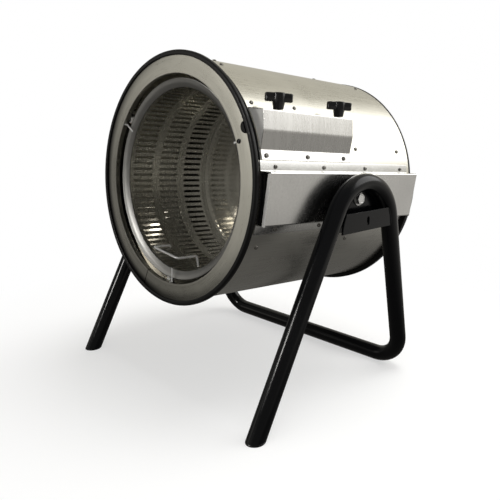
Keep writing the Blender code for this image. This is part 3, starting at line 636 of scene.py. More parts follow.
def make_stand():
    path = stand_path()
    skins = []
    for radius in (TUBE_R - 0.000002, TUBE_R - 0.0016):
        rings = tube_rings(path, radius, 40)
        rings[0] = level(rings[0], FOOT_SOLE + GAP)
        rings[-1] = level(rings[-1], FOOT_SOLE + GAP)
        skins.append(rings)
    add("stand_frame_tube", loft(skins[0] + skins[1][::-1], loop=True), BLACK, ["stand_tube"], "stand",
        FLOOR_FRAME)
    for side, sign in (("right", 1.0), ("left", -1.0)):
        make_foot(side, sign)
        make_plates(side, sign)


def make_foot(side, sign):
    """Moulded plug: tapered ribbed stem inside the tube, rounded sole as wide as the tube."""
    at = foot_point(sign)
    across = Vector((1.0, 0.0, 0.0))
    over = LEG_UP.cross(across)

    def ring(radius, along=0.0):
        return [at + LEG_UP * along + radius * spoke(across, over, TAU * k / 40) for k in range(40)]

    rings = [ring(0.0118, 0.028)]
    for i in range(4):
        low = 0.0255 - 0.0048 * i
        rings += [ring(0.0131, low), ring(0.0131, low - 0.0012), ring(0.012, low - 0.0022)]
    rings += [level(ring(0.013), FOOT_SOLE), level(ring(TUBE_R - 0.0004), FOOT_SOLE),
              level(ring(TUBE_R), FOOT_SOLE - 0.0004), level(ring(TUBE_R), 0.0014),
              level(ring(TUBE_R - 0.0005), 0.0004), level(ring(TUBE_R - 0.0014), 0.0)]
    add("foot_plug_moulding_" + side, loft(rings), PLASTIC, ["foot_plug_" + side], "stand", FLOOR_FRAME)


def bead(name, path, radius):
    """Weld bead: a tapered, rippled run of metal under the enamel."""
    count = len(path)

    def ripple(i):
        end = min(1.0, 0.35 + 3.0 * min(i, count - 1 - i) / count * 2)
        return end * (1.0 + 0.16 * sin(i * 1.9)) * (1.0 + RNG.uniform(-0.05, 0.05))

    add(name, loft(tube_rings(path, radius, 10, ripple)), BLACK, (), "stand", FLOOR_FRAME)


def inner_reach(x):
    off = abs(x - STAND_HALF_WIDTH)
    return HAIRPIN_R - sqrt(TUBE_R ** 2 - off ** 2) - GAP


def make_plates(side, sign):
    reach = inner_reach(PLATE_X + PLATE_THICK)
    corners = arc((0.0, HAIRPIN_Z), reach, 0.0, pi, 72)
    bolt = circle(BOLT_HOLE_R, 32, (0.0, PIVOT.z))
    add("pivot_gusset_" + side, prism(corners, sign * PLATE_X, sign * (PLATE_X + PLATE_THICK), "x"),
        BLACK, ["pivot_plate_" + side], "stand", FLOOR_FRAME, bevel=0.0005,
        cutters=[prism(bolt, sign * (PLATE_X - 0.01), sign * (PLATE_X + 0.01), "x")])
    outer = sign * (PLATE_X + PLATE_THICK + 0.0004)
    for tag, x in (("outer", outer), ("inner", sign * (PLATE_X - 0.0004))):
        radius = inner_reach(abs(x)) - 0.0002
        path = [(x, y, z) for y, z in arc((0.0, HAIRPIN_Z), radius, 0.1, pi - 0.1, 110)]
        bead("gusset_weld_%s_%s" % (tag, side), path, 0.0015)

    reach = inner_reach(STRAP_X)
    low = asin((STRAP_BOTTOM - HAIRPIN_Z) / reach)
    high = asin((STRAP_TOP - HAIRPIN_Z) / reach)
    outline = (arc((0.0, HAIRPIN_Z), reach, low, high, 10)
               + arc((0.0, HAIRPIN_Z), reach, pi - high, pi - low, 10))
    slot = stadium(0.0075, 0.0035, (0.0, 0.3205), upright=True)
    add("stand_strap_" + side, prism(outline, sign * STRAP_X, sign * (STRAP_X + PLATE_THICK), "x"),
        BLACK, ["strap_" + side], "stand", FLOOR_FRAME, bevel=0.0005,
        cutters=[prism(slot, sign * (STRAP_X - 0.005), sign * (STRAP_X + 0.01), "x")])
    for tag, start, end in (("rear", low, high), ("front", pi - high, pi - low)):
        x = sign * (STRAP_X + PLATE_THICK - 0.0002)
        path = [(x, y, z) for y, z in arc((0.0, HAIRPIN_Z), reach - 0.0004, start, end, 26)]
        bead("strap_weld_%s_%s" % (tag, side), path, 0.0014)


make_stand()


# ---------------------------------------------------------------- housing

SHELL_IN, SHELL_R, SHELL_Y0, SHELL_END = ring_size("shell_upper")
LOWER_Y0 = ring_size("shell_lower")[2]
SEAM = radians(8.0)


def sheet_profile(r0, r1, y0, y1, edge=0.00035):
    return [(r0, y0 + edge), (r0 + edge, y0), (r1 - edge, y0), (r1, y0 + edge),
            (r1, y1 - edge), (r1 - edge, y1), (r0 + edge, y1), (r0, y1 - edge)]


def make_shells():
    clear = GAP / SHELL_R
    add("upper_shell_sheet", turned(sheet_profile(SHELL_IN, SHELL_R, SHELL_Y0, SHELL_END), SEAM, pi - SEAM),
        SHELL, ["shell_upper"])
    add("lower_shell_sheet", turned(sheet_profile(SHELL_IN, SHELL_R, LOWER_Y0, SHELL_END), pi - SEAM + clear,
                                    TAU + SEAM - clear), LOWER, ["shell_lower"])


def make_front_ring():
    """Flat ring with a rolled inner lip and a skirt inside the shells, split at its joint."""
    r_in, r_out, y0, y1 = ring_size("front_ring")
    t, skirt = SHEET, SHELL_IN - GAP
    width = r_out - r_in
    face = []
    for i in range(13):
        share = i / 12
        r = r_out - (width - 0.0018) * share
        face.append((r, y0 - 0.0005 * sin(pi * min(1.0, 0.15 + 0.95 * share)) + 0.0003))
    lip = [(r_in + 0.001, y0 + 0.0004), (r_in + 0.0004, y0 + 0.0009), (r_in + 0.0001, y0 + 0.0016),
           (r_in, y0 + 0.0024), (r_in, y0 + 0.0095), (r_in + 0.0004, y0 + 0.01), (r_in + t, y0 + 0.01),
           (r_in + t, y0 + 0.0036), (r_in + 0.0024, y0 + 0.0022), (r_in + 0.0045, y0 + t)]
    back = [(skirt - t - 0.001, y0 + t), (skirt - t - 0.0002, y0 + t + 0.0006), (skirt - t, y0 + t + 0.0015),
            (skirt - t, y1 - 0.0004), (skirt - t + 0.0004, y1), (skirt - 0.0004, y1), (skirt, y1 - 0.0004),
            (skirt, y0 + t), (r_out, y0 + t)]
    seam = radians(250.0)  # where the ring's ends meet, low on the left
    gap = 0.0009 / r_in
    add("front_ring_pressing", turned(face + lip + back, seam + gap, seam + TAU - gap, 320), RING,
        ["front_ring"])
    backing = [(r_in + 0.004, y0 + t + 0.0003), (r_out - 0.004, y0 + t + 0.0003),
               (r_out - 0.004, y0 + t + 0.0013), (r_in + 0.004, y0 + t + 0.0013)]
    add("ring_joint_strip", turned(backing, seam - 0.05, seam + 0.05, 320), RING)


def make_trims():
    """Rubber edge trims of the ring, the upper shell's front and the shells' rear edges."""
    r0, r1, y0, y1 = ring_size("front_trim")
    ring_out = ring_size("front_ring")[1]
    outer = rounded_path([(r0, y1), (r0, y0), (r1, y0), (r1, y1)], [0.0003, 0.0022, 0.0034, 0.0022], True, 6)
    bm = turned(outer, segments=300)
    groove = turned([(r0 - 0.002, -GAP - 0.0004), (ring_out + GAP, -GAP - 0.0004),
                     (ring_out + GAP, SHEET + GAP), (r0 - 0.002, SHEET + GAP)], segments=300)
    add("front_edge_trim", bm, RUBBER, ["front_trim"], cutters=[groove], sharp=40.0)

    r0, r1, y0, y1 = ring_size("upper_trim")
    start = radians(13.0)
    corners = [(r0, y1), (r0, y0), (r1, y0), (r1, y1)]
    profile = rounded_path(corners, [0.0002, 0.0006, 0.0016, 0.0012], True, 5)
    add("upper_edge_trim", turned(profile, start, pi - start), RUBBER, ["upper_trim"])

    for name, a0, a1, grow in (("rear_trim_lower", pi - SEAM, TAU + SEAM, 0.003),
                               ("rear_trim_upper", SEAM + GAP / SHELL_R, pi - SEAM - GAP / SHELL_R, 0.0002)):
        r0, r1, y0, y1 = ring_size(name)
        outside, end = SHELL_R + GAP, SHELL_END + GAP
        if name == "rear_trim_upper":
            r1, y0 = outside + 0.0005, SHELL_END - 0.001
        corners = [(outside, y0), (r1, y0), (r1, y1), (r0, y1), (r0, end), (outside, end)]
        radii = [0.0002, grow * 0.5, grow, 0.0008, 0.0002, 0.0002]
        profile = rounded_path(corners, radii, True, 5)
        add(name.replace("rear_trim", "rear_edge_trim"), turned(profile, a0, a1), RUBBER, [name])


def make_trim_clip():
    """Half-round rubber clip where the front trim's ends meet, on the ring's right."""
    angle = radians(26.7)
    radius = ring_size("front_trim")[0] - GAP
    centre = (radius * cos(angle), radius * sin(angle))

    def outline(shrink):
        points = []
        for u, v in arc((0.0, 0.0), 0.0095 - shrink, pi / 2, 3 * pi / 2, 24):
            u = u * 0.85 - 0.0004
            points.append((centre[0] + u * cos(angle) - v * sin(angle),
                           centre[1] + u * sin(angle) + v * cos(angle)))
        return points

    rings = stack(((0.0014, -0.0033), (0.0005, -0.003), (0.0, -0.0022), (0.0, -GAP - 0.0006)), outline)
    add("trim_joint_clip", loft(rings), RUBBER, ["trim_clip"], sharp=45.0)


def make_panels():
    """Bulkhead behind the drum and the vented rear panel."""
    t, skirt = SHEET, SHELL_IN - GAP
    y0, y1 = span("bulkhead", 1)
    profile = [(0.012, y0), (0.06, y0), (0.066, y0 + 0.0006), (skirt - 0.0022, y0 + 0.0006),
               (skirt - 0.0006, y0 + 0.0012), (skirt, y0 + 0.0026), (skirt, y1), (skirt - t, y1),
               (skirt - t, y0 + 0.0036), (skirt - t - 0.0016, y0 + 0.002), (0.066, y0 + 0.002),
               (0.06, y0 + t), (0.012, y0 + t)]
    add("bulkhead_pressing", turned(profile, segments=192), RIM, ["bulkhead"])
    y0, y1 = span("rear_panel", 1)
    face = y1 - t
    profile = [(0.0, face), (0.176, face), (0.18, face - 0.0012), (0.185, face - 0.0012), (0.189, face),
               (skirt - t - 0.0015, face), (skirt - t, face - 0.0015), (skirt - t, y0), (skirt, y0),
               (skirt, y1 - 0.002), (skirt - 0.0006, y1 - 0.0006), (skirt - 0.002, y1), (0.189, y1),
               (0.185, y1 - 0.0012), (0.18, y1 - 0.0012), (0.176, y1), (0.0, y1)]
    cutters = []
    for i in range(6):
        cutters.append(prism(stadium(0.045, 0.0025, (0.0, 0.0475 + 0.014 * i)), face - 0.01, face + 0.02))
    for (x, z), (u, v) in ((INLET_AT, (0.0286, 0.0206)), (SWITCH_AT, (0.0196, 0.0276))):
        cutters.append(prism(rounded_box(u, v, 0.001, 3, (x, z)), face - 0.01, face + 0.02))
    add("rear_cover_panel", turned(profile, segments=192), LOWER, ["rear_panel"], cutters=cutters)
    places = [(on_radius(y1, 45.0 * (k + 0.5), 0.197)[0], (0.0, 1.0, 0.0)) for k in range(8)]
    screw_row("rear_panel_screws", places)


def inlet_and_switch_places():
    spots = []
    for node in ("power_inlet", "switch_frame"):
        x, z = span(node, 0), span(node, 2)
        spots.append(((x[0] + x[1]) / 2, (z[0] + z[1]) / 2))
    return spots


INLET_AT, SWITCH_AT = inlet_and_switch_places()

BOX_Y0, BOX_Y1 = span("side_box_right", 1)
BOX_TOP, BOX_BOTTOM = 0.0315, -0.052
BOX_TOP_X, BOX_BOTTOM_X = 0.2355, 0.2275
FLANGE_TOP, FLANGE_BOTTOM = 0.047, -0.068


def web_x(z):
    return BOX_BOTTOM_X + (BOX_TOP_X - BOX_BOTTOM_X) * (z - BOX_BOTTOM) / (BOX_TOP - BOX_BOTTOM)


def shell_angle(radius, z):
    return asin(z / radius)


def make_side_box(side, sign):
    """Folded box with screwed flanges, a lip at each end, and the plugs in its ends."""
    seat = SHELL_R + GAP + SHEET
    top_foot = shell_angle(seat, BOX_TOP)
    low_foot = shell_angle(seat, BOX_BOTTOM)
    path = arc((0.0, 0.0), seat, shell_angle(seat, FLANGE_TOP), top_foot, 6)[:-1]
    folds = rounded_path(
        [path[-1], (seat * cos(top_foot), BOX_TOP), (BOX_TOP_X, BOX_TOP), (BOX_BOTTOM_X, BOX_BOTTOM),
         (seat * cos(low_foot), BOX_BOTTOM)], [0.0, 0.0012, 0.0026, 0.0026, 0.0], False, 6)
    path = path[:-1] + folds
    path += arc((0.0, 0.0), seat, low_foot, shell_angle(seat, FLANGE_BOTTOM), 6)[1:]
    outline = [(sign * u, v) for u, v in thickened(path[::-1], SHEET)]
    hole = circle(BOLT_HOLE_R, 32, (PIVOT_LOCAL.y, PIVOT_LOCAL.z))
    add("side_box_folding_" + side, prism(outline, BOX_Y0, BOX_Y1), BOX,
        ["side_box_" + side], bevel=0.0003, cutters=[prism(hole, sign * 0.222, sign * 0.245, "x")])

    # Return lip folded inward at both ends
    for end, y0, y1 in (("front", BOX_Y0 - 0.0002, BOX_Y0 + 0.0011),
                        ("rear", BOX_Y1 - 0.0011, BOX_Y1 + 0.0002)):
        low, high = BOX_BOTTOM - 0.0015, BOX_TOP - 0.0022
        t = 0.0001
        corners = [(web_x(high) - t, high), (web_x(low) - t, low), (web_x(low) - 0.0066, low + 0.001),
                   (web_x(high) - 0.0066, high - 0.001)]
        outline = rounded_path([(sign * u, v) for u, v in corners], [0.0008, 0.0016, 0.0016, 0.0008], True, 4)
        add("side_box_lip_%s_%s" % (end, side), prism(outline, y0, y1), FOLDED, bevel=0.0003)
        make_box_cap(end, side, sign)

    places = []
    for z, row in ((0.038, (0.047, 0.165, 0.283, 0.4)), (-0.0605, (0.06, 0.169, 0.28, 0.39))):
        for y in row:
            point, normal = on_radius(y, degrees(shell_angle(seat, z)), seat)
            places.append(((sign * point.x, point.y, point.z), (sign * normal.x, 0.0, normal.z)))
    screw_row("side_box_screws_" + side, places)


def make_box_cap(end, side, sign):
    """Moulded plug in a side box's end: a recessed face inside a raised, chamfered border."""
    node = "box_cap_%s_%s" % (end, side)
    y0, y1 = span(node, 1)
    points = local(node)
    seat = SHELL_R + GAP
    low, high = min(p.z for p in points), max(p.z for p in points)
    wall = SHEET + 2 * GAP
    outline = [(web_x(low) - wall, low), (web_x(high) - wall, high)]
    outline += arc((0.0, 0.0), seat, shell_angle(seat, high), shell_angle(seat, low), 10)
    centre = Vector((0.221, (low + high) / 2))

    def scaled(share):
        return [(sign * (centre.x + (u - centre.x) * share),
                 centre.y + (v - centre.y) * (1 - (1 - share) * 0.35)) for u, v in outline]

    face, depth = (y0, 0.0022) if end == "front" else (y1, -0.0022)
    other = y1 if end == "front" else y0
    rings = stack(((1.0, other), (1.0, face + depth * 0.2), (0.96, face), (0.8, face), (0.76, face + depth)),
                  scaled)
    add("box_end_plug_%s_%s" % (end, side), loft(rings), PLASTIC, [node], sharp=30.0)


HEX_R = 0.0098  # of the pivot bolt's head and nut, across the corners


def hexagon(x, centre, cut=HEX_R, points=48):
    """Hexagon outline with extra points on its sides, limited to a cut radius for a chamfer."""
    ring = []
    for k in range(points):
        angle = TAU * k / points
        within = (angle % (pi / 3)) - pi / 6
        reach = min(cut, HEX_R * cos(pi / 6) / cos(within))
        ring.append((x, centre[0] + reach * cos(angle), centre[1] + reach * sin(angle)))
    return ring


def make_pivot(side, sign):
    """Hexagon bolt with washer, friction boss between box and plate, and the nut inside."""
    centre = (PIVOT_LOCAL.y, PIVOT_LOCAL.z)

    def disc(radius, x, sides=48):
        return [(sign * x, v, w) for v, w in circle(radius, sides, centre)]

    seat = PLATE_X + PLATE_THICK + GAP
    washer_top = seat + 0.0012
    top = seat + 0.0064
    head = [hexagon(sign * washer_top, centre, cut=0.0094), hexagon(sign * (washer_top + 0.0004), centre),
            hexagon(sign * (top - 0.0009), centre), hexagon(sign * (top - 0.0003), centre, cut=0.0091),
            hexagon(sign * top, centre, cut=0.0084), disc(0.0066, top), disc(0.006, top - 0.0004),
            disc(0.002, top - 0.0004)]
    shank = [disc(0.0049, 0.2168), disc(0.0049, washer_top)]
    bolt = merge(loft(shank), loft(head))
    add("pivot_hex_bolt_" + side, bolt, BRIGHT, ["pivot_bolt_" + side], slot="polished_steel", sharp=25.0)
    washer = [disc(0.0056, seat), disc(0.0118, seat), disc(0.0122, seat + 0.0004),
              disc(0.0122, seat + 0.0008), disc(0.0118, seat + 0.0011), disc(0.0056, seat + 0.0011)]
    add("pivot_washer_" + side, loft(washer, loop=True), ZINC)

    face = PLATE_X - GAP

    def follow(radius):
        return [(sign * (web_x(w) + GAP), v, w) for v, w in circle(radius, 48, centre)]

    boss = [follow(0.0056), follow(0.0176), disc(0.0176, face - 0.0022), disc(0.017, face - 0.0016),
            disc(0.017, face - 0.0005), disc(0.0165, face), disc(0.0056, face)]
    add("pivot_friction_boss_" + side, loft(boss, loop=True), PLASTIC, ["pivot_boss_" + side], sharp=35.0)

    points = local("pivot_nut_" + side)
    inner = min(abs(p.x) for p in points)
    outer = max(abs(p.x) for p in points)
    nut = [disc(0.0053, inner), hexagon(sign * inner, centre, cut=0.0088),
           hexagon(sign * (inner + 0.0007), centre), hexagon(sign * (outer - 0.0007), centre),
           hexagon(sign * outer, centre, cut=0.0088), disc(0.0053, outer)]
    add("pivot_hex_nut_" + side, loft(nut, loop=True), ZINC, ["pivot_nut_" + side], sharp=25.0)


HOOD_Y0, HOOD_Y1 = span("hood", 1)
HOOD_FOOT, HOOD_BEND = radians(12.95), radians(17.2)
HOOD_CREASE = (0.2085, 0.093)
HOOD_CORNER = (0.205, 0.124)
HOOD_TOP_INNER = (0.1715, 0.1262)
HOOD_SHEET = 0.001


def make_hood():
    """Wrapper sheet with flange, creased face and top, and two end plates let into it."""
    seat = SHELL_R + GAP + HOOD_SHEET
    foot = (seat * cos(HOOD_BEND), seat * sin(HOOD_BEND))
    flange = arc((0.0, 0.0), seat, HOOD_FOOT, HOOD_BEND, 5)[:-1]
    folds = rounded_path([flange[-1], foot, HOOD_CREASE, HOOD_CORNER, HOOD_TOP_INNER],
                         [0.0, 0.0015, 0.01, 0.0022, 0.0], False, 7)
    path = flange[:-1] + folds
    outline = thickened(path, HOOD_SHEET)
    cutters = []
    for joint in ("front_knob_turn", "rear_knob_turn"):
        at = TO_MACHINE @ Vector(JOINTS[joint]["pos_m"])
        cutters.append(prism(circle(0.0046, 28, (at.x, at.y)), 0.11, 0.14, "z"))
    add("hood_wrapper_sheet", prism(outline, HOOD_Y0, HOOD_Y1), HOOD, ["hood"],
        bevel=0.00025, cutters=cutters)

    t = HOOD_SHEET
    inside = rounded_path([(foot[0] - t, foot[1] - 0.0006), (HOOD_CREASE[0] - t - 0.0001, HOOD_CREASE[1]),
                           (HOOD_CORNER[0] - t - 0.0001, HOOD_CORNER[1] - t),
                           (HOOD_TOP_INNER[0], HOOD_TOP_INNER[1] - t)], [0.0, 0.009, 0.0012, 0.0], False, 6)
    seat = SHELL_R + GAP
    curve = arc((0.0, 0.0), seat, atan2(HOOD_TOP_INNER[1], HOOD_TOP_INNER[0]) - 0.004, HOOD_BEND, 14)
    plate = inside + curve
    # The end plates wear the pale copy of the steel: painted light.
    for end, y in (("front", HOOD_Y0 + 0.0008), ("rear", HOOD_Y1 - 0.0008 - t)):
        add("hood_end_plate_" + end, prism(plate, y, y + t), FOLDED, bevel=0.0002)

    for i in range(1, 4):
        points = local("hood_screw_%d" % i)
        mean = sum(points, Vector()) / len(points)
        place = on_radius(mean.y, degrees(atan2(mean.z, mean.x)), SHELL_R + GAP + HOOD_SHEET + 0.0001)
        screw_row("hood_flange_screw_%d" % i, [place], 0.0038, 0.0022, replaces=["hood_screw_%d" % i])


def make_knob(body):
    """T-shaped clamping knob: waisted hub, barrel-ended bar, top cap and a threaded stud."""
    joint = JOINTS[body + "_turn"]
    x = Vector((1.0, 0.0, 0.0))
    z = Vector(joint["axis"]).normalized()
    y = z.cross(x)
    turn = Matrix.Rotation(radians(65.0), 4, "Z")
    place = Matrix.Translation(Vector(joint["pos_m"])) @ Matrix((x, y, z)).transposed().to_4x4() @ turn
    height = 0.026
    hub = [(0.0072, 0.0), (0.0082, 0.0004), (0.0086, 0.0016), (0.0088, 0.005), (0.0096, 0.0085),
           (0.01, 0.0115), (0.01, height - 0.0016), (0.0096, height - 0.0006), (0.0086, height),
           (0.0066, height), (0.0062, height - 0.0005), (0.003, height - 0.0005)]
    rings = []
    for r, w in hub:
        flutes = [0.955 if w <= 0.012 and k % 6 == 0 else 1.0 for k in range(48)]
        rings.append([(u * flute, v * flute, w) for flute, (u, v) in zip(flutes, circle(r, 48))])
    length, width, tall = 0.046, 0.011, 0.014
    low = height - 0.0005 - tall
    sections = ((0.002, 0.0), (0.0008, 0.0005), (0.0, 0.0016), (0.0, tall - 0.002), (0.0007, tall - 0.0006),
                (0.0022, tall))

    def waisted(shrink):
        outline = rounded_box(length - 2 * shrink, width - 2 * shrink, 0.0038 - shrink * 0.5, 7)
        return [(u, v * (1.0 - 0.12 * exp(-((abs(u) - 0.0125) / 0.004) ** 2))) for u, v in outline]

    node = "knob_" + body.split("_")[0]
    add(node.replace("knob", "clamp_knob"), loft(rings), PLASTIC, [node], body, place,
        joins=[loft(stack([(shrink, low + w) for shrink, w in sections], waisted, "z"))], sharp=38.0)
    cap = stack(((0.006, height - 0.0012), (0.006, height - 0.0002), (0.0052, height + 0.0001),
                 (0.0015, height + 0.0003)), lambda r: circle(r, 32), "z")
    add(node.replace("knob", "knob_cap"), loft(cap), PLASTIC, (), body, place, sharp=40.0)
    last = 28
    threads = [(0.003 if i in (0, last) else (0.0039, 0.0034)[i % 2], -0.0003 - 0.0137 * i / last)
               for i in range(last + 1)]
    stud = stack(threads, lambda r: circle(r, 24), "z")
    add(node.replace("knob", "threaded_stud"), loft(stud), ZINC, [node.replace("knob", "stud")], body, place,
        sharp=20.0)


def make_shell_screws():
    """Pan heads that hold the shells on the ring's skirt, the bulkhead and the rear panel."""
    upper = ((0.264, 19.8), (0.399, 19.7), (0.032, 39.0), (0.131, 38.8), (0.042, 68.3), (0.343, 84.0),
             (0.412, 68.0), (0.055, 78.0))
    lower = ((0.033, -25.3), (0.265, -25.8), (0.4, -25.5), (0.033, -62.0), (0.265, -62.0), (0.4, -62.0))
    for name, spots in (("upper_shell_screws", upper), ("lower_shell_screws", lower)):
        places = [on_radius(y, side, SHELL_R) for y, degrees in spots for side in (degrees, 180.0 - degrees)]
        screw_row(name, places, 0.0034, 0.0019)


make_shells()
make_front_ring()
make_trims()
make_trim_clip()
make_panels()
for side_name, side_sign in (("right", 1.0), ("left", -1.0)):
    make_side_box(side_name, side_sign)
    make_pivot(side_name, side_sign)
make_hood()
make_knob("front_knob")
make_knob("rear_knob")
make_shell_screws()


# ---------------------------------------------------------------- drum

DRUM_R = ring_size("drum_wall")[0]
DRUM_SHEET = ring_size("drum_wall")[1] - DRUM_R
DRUM_Y0, DRUM_Y1 = span("drum_wall", 1)
SLOT_ROWS = ((0.032, 0.077), (0.094, 0.139), (0.156, 0.201))
SLOTS_AROUND = 90
SLOT_SHARE = 0.44


def make_drum_wall():
    """Thin cylinder with rows of round-ended lengthwise slots."""
    pitch = TAU / SLOTS_AROUND
    half = pitch / 2
    wide = half * SLOT_SHARE
    end_r = wide * DRUM_R
    edges = [DRUM_Y0] + [(a[1] + b[0]) / 2 for a, b in zip(SLOT_ROWS, SLOT_ROWS[1:])] + [DRUM_Y1]
    bm = bmesh.new()
    for i in range(SLOTS_AROUND):
        centre = i * pitch
        for row, (y0, y1) in enumerate(SLOT_ROWS):
            low, high = edges[row], edges[row + 1]
            ca, cb = y0 + end_r, y1 - end_r
            hole, cell = [], []
            for k in range(9):
                turn = pi * k / 8
                hole.append((wide * cos(turn), cb + end_r * sin(turn)))
            cell += [(half, cb), (half, (cb + high) / 2), (half, high), (half * 0.5, high), (0.0, high),
                     (-half * 0.5, high), (-half, high), (-half, (cb + high) / 2), (-half, cb)]
            for k in range(9):
                turn = pi + pi * k / 8
                hole.append((wide * cos(turn), ca + end_r * sin(turn)))
            cell += [(-half, ca), (-half, (ca + low) / 2), (-half, low), (-half * 0.5, low), (0.0, low),
                     (half * 0.5, low), (half, low), (half, (ca + low) / 2), (half, ca)]
            loops = {}
            for key, outline in (("hole", hole), ("cell", cell)):
                for skin, r in (("in", DRUM_R), ("out", DRUM_R + DRUM_SHEET)):
                    loops[key, skin] = [bm.verts.new((r * cos(centre + a), y, r * sin(centre + a)))
                                        for a, y in outline]
            count = len(hole)
            for k in range(count):
                n = (k + 1) % count
                for skin in ("in", "out"):
                    h, c = loops["hole", skin], loops["cell", skin]
                    bm.faces.new((h[k], h[n], c[n], c[k]))
                a, b = loops["hole", "in"], loops["hole", "out"]
                bm.faces.new((a[k], a[n], b[n], b[k]))
                on_edge = (row == 0 and 11 <= k < 15) or (row == len(SLOT_ROWS) - 1 and 2 <= k < 6)
                if on_edge:
                    a, b = loops["cell", "in"], loops["cell", "out"]
                    bm.faces.new((a[k], a[n], b[n], b[k]))
    return bm


def make_drum():
    add("drum_slotted_wall", make_drum_wall(), DRUM, ["drum_wall"], "drum", sharp=40.0)
    r_in, r_out, y0, y1 = ring_size("drum_rim")
    t = SHEET
    lip_y = y0 + 0.0066
    profile = [(r_out - 0.0004, y0 + 0.0003), (r_out - 0.0016, y0), (r_out - 0.003, y0 + 0.0006)]
    for i in range(1, 8):
        share = i / 8
        profile.append((r_out - 0.003 + (r_in + 0.0016 - r_out + 0.003) * share,
                        y0 + 0.0006 + (lip_y - y0 - 0.001) * share - 0.0008 * sin(pi * share)))
    profile += [(r_in + 0.001, lip_y - 0.0001), (r_in + 0.0002, lip_y + 0.0006), (r_in, lip_y + 0.0014),
                (r_in + 0.0002, lip_y + 0.0021), (r_in + 0.001, lip_y + 0.0026),
                (r_in + 0.0018, lip_y + 0.0022)]
    profile += [(r_out - t - 0.001, y0 + 0.0032), (r_out - t, y0 + 0.004), (r_out - t, y1 - 0.0003),
                (r_out - t + 0.0003, y1), (r_out - 0.0003, y1), (r_out, y1 - 0.0003), (r_out, y0 + 0.0012)]
    add("drum_rim_pressing", turned(profile, segments=256), RIM, ["drum_rim"], "drum", slot="polished_steel")
    r_in, r_out, y0, y1 = ring_size("drum_back")
    profile = [(0.0, y0 + 0.0007), (0.044, y0 + 0.0007), (0.047, y0 + 0.0004), (0.05, y0), (0.15, y0),
               (0.153, y0 + 0.0005), (0.1555, y0 + 0.0005), (0.158, y0), (r_out - 0.0004, y0),
               (r_out, y0 + 0.0004), (r_out, y1 - 0.0002), (r_out - 0.0002, y1), (0.0, y1)]
    add("drum_back_disc", turned(profile, segments=256), MIRROR, ["drum_back"], "drum")
    y0, y1 = span("drum_hub", 1)
    profile = [(0.0, y0), (0.0294, y0), (0.03, y0 + 0.0006), (0.03, y0 + 0.0042), (0.0292, y0 + 0.005),
               (0.0165, y0 + 0.0058), (0.0145, y0 + 0.0075), (0.014, y0 + 0.0095), (0.014, y1 - 0.0008),
               (0.0132, y1), (0.0, y1)]
    add("drum_hub_flange", turned(profile, segments=64), ZINC, ["drum_hub"], "drum")
    places = [(on_radius(y0 + 0.0053, 60.0 * k, 0.0225)[0], (0.0, 1.0, 0.0)) for k in range(6)]
    screw_row("drum_hub_screws", places, 0.0034, 0.0024, "drum", ZINC)
    y0, y1 = span("drum_shaft", 1)
    profile = [(0.0, y0), (0.0076, y0), (0.008, y0 + 0.0004), (0.008, 0.2846), (0.0088, 0.2856),
               (0.0134, 0.286), (0.014, 0.2868), (0.014, 0.2952), (0.0134, 0.2958), (0.0134, 0.2966),
               (0.014, 0.2972), (0.014, y1 - 0.001), (0.0132, y1), (0.0, y1)]
    add("drum_shaft_coupling", turned(profile, segments=48), ZINC, ["drum_shaft"], "drum")
    make_wire()


def make_wire():
    """Bent wire lifter: a front bar, two side rails and spot-welded feet."""
    left, right = -123.5, -94.5
    left_r, right_r, foot_r = DRUM_R - 0.006, DRUM_R - 0.0235, DRUM_R - 0.0026
    y0, y1 = span("wire_lifter", 1)
    near, far = y0 + 0.0022, y1 - 0.0003

    def at(radius, degrees, y):
        return on_radius(y, degrees, radius)[0]

    corners = [at(foot_r, left, far - 0.01), at(left_r, left, far - 0.015), at(left_r, left, near),
               at(right_r, right, near), at(right_r, right, far - 0.006), at(foot_r, right, far)]
    path = rounded_path(corners, [0.0, 0.002, 0.005, 0.005, 0.004, 0.0], False, 9)
    add("wire_lifter_bar", loft(tube_rings(path, 0.0022, 20)), WIRE, ["wire_lifter"], "drum")


def bent_strip(corners, fold, thickness, half_width, out, across):
    """Narrow strip bent once; its corners are (distance from the drum axis, y)."""
    section = thickened(rounded_path(corners, [0.0, fold, 0.0], False, 6), thickness)
    return loft([[out * p.x + Vector((0.0, p.y, 0.0)) + across * half for p in section]
                 for half in (-half_width, half_width)])


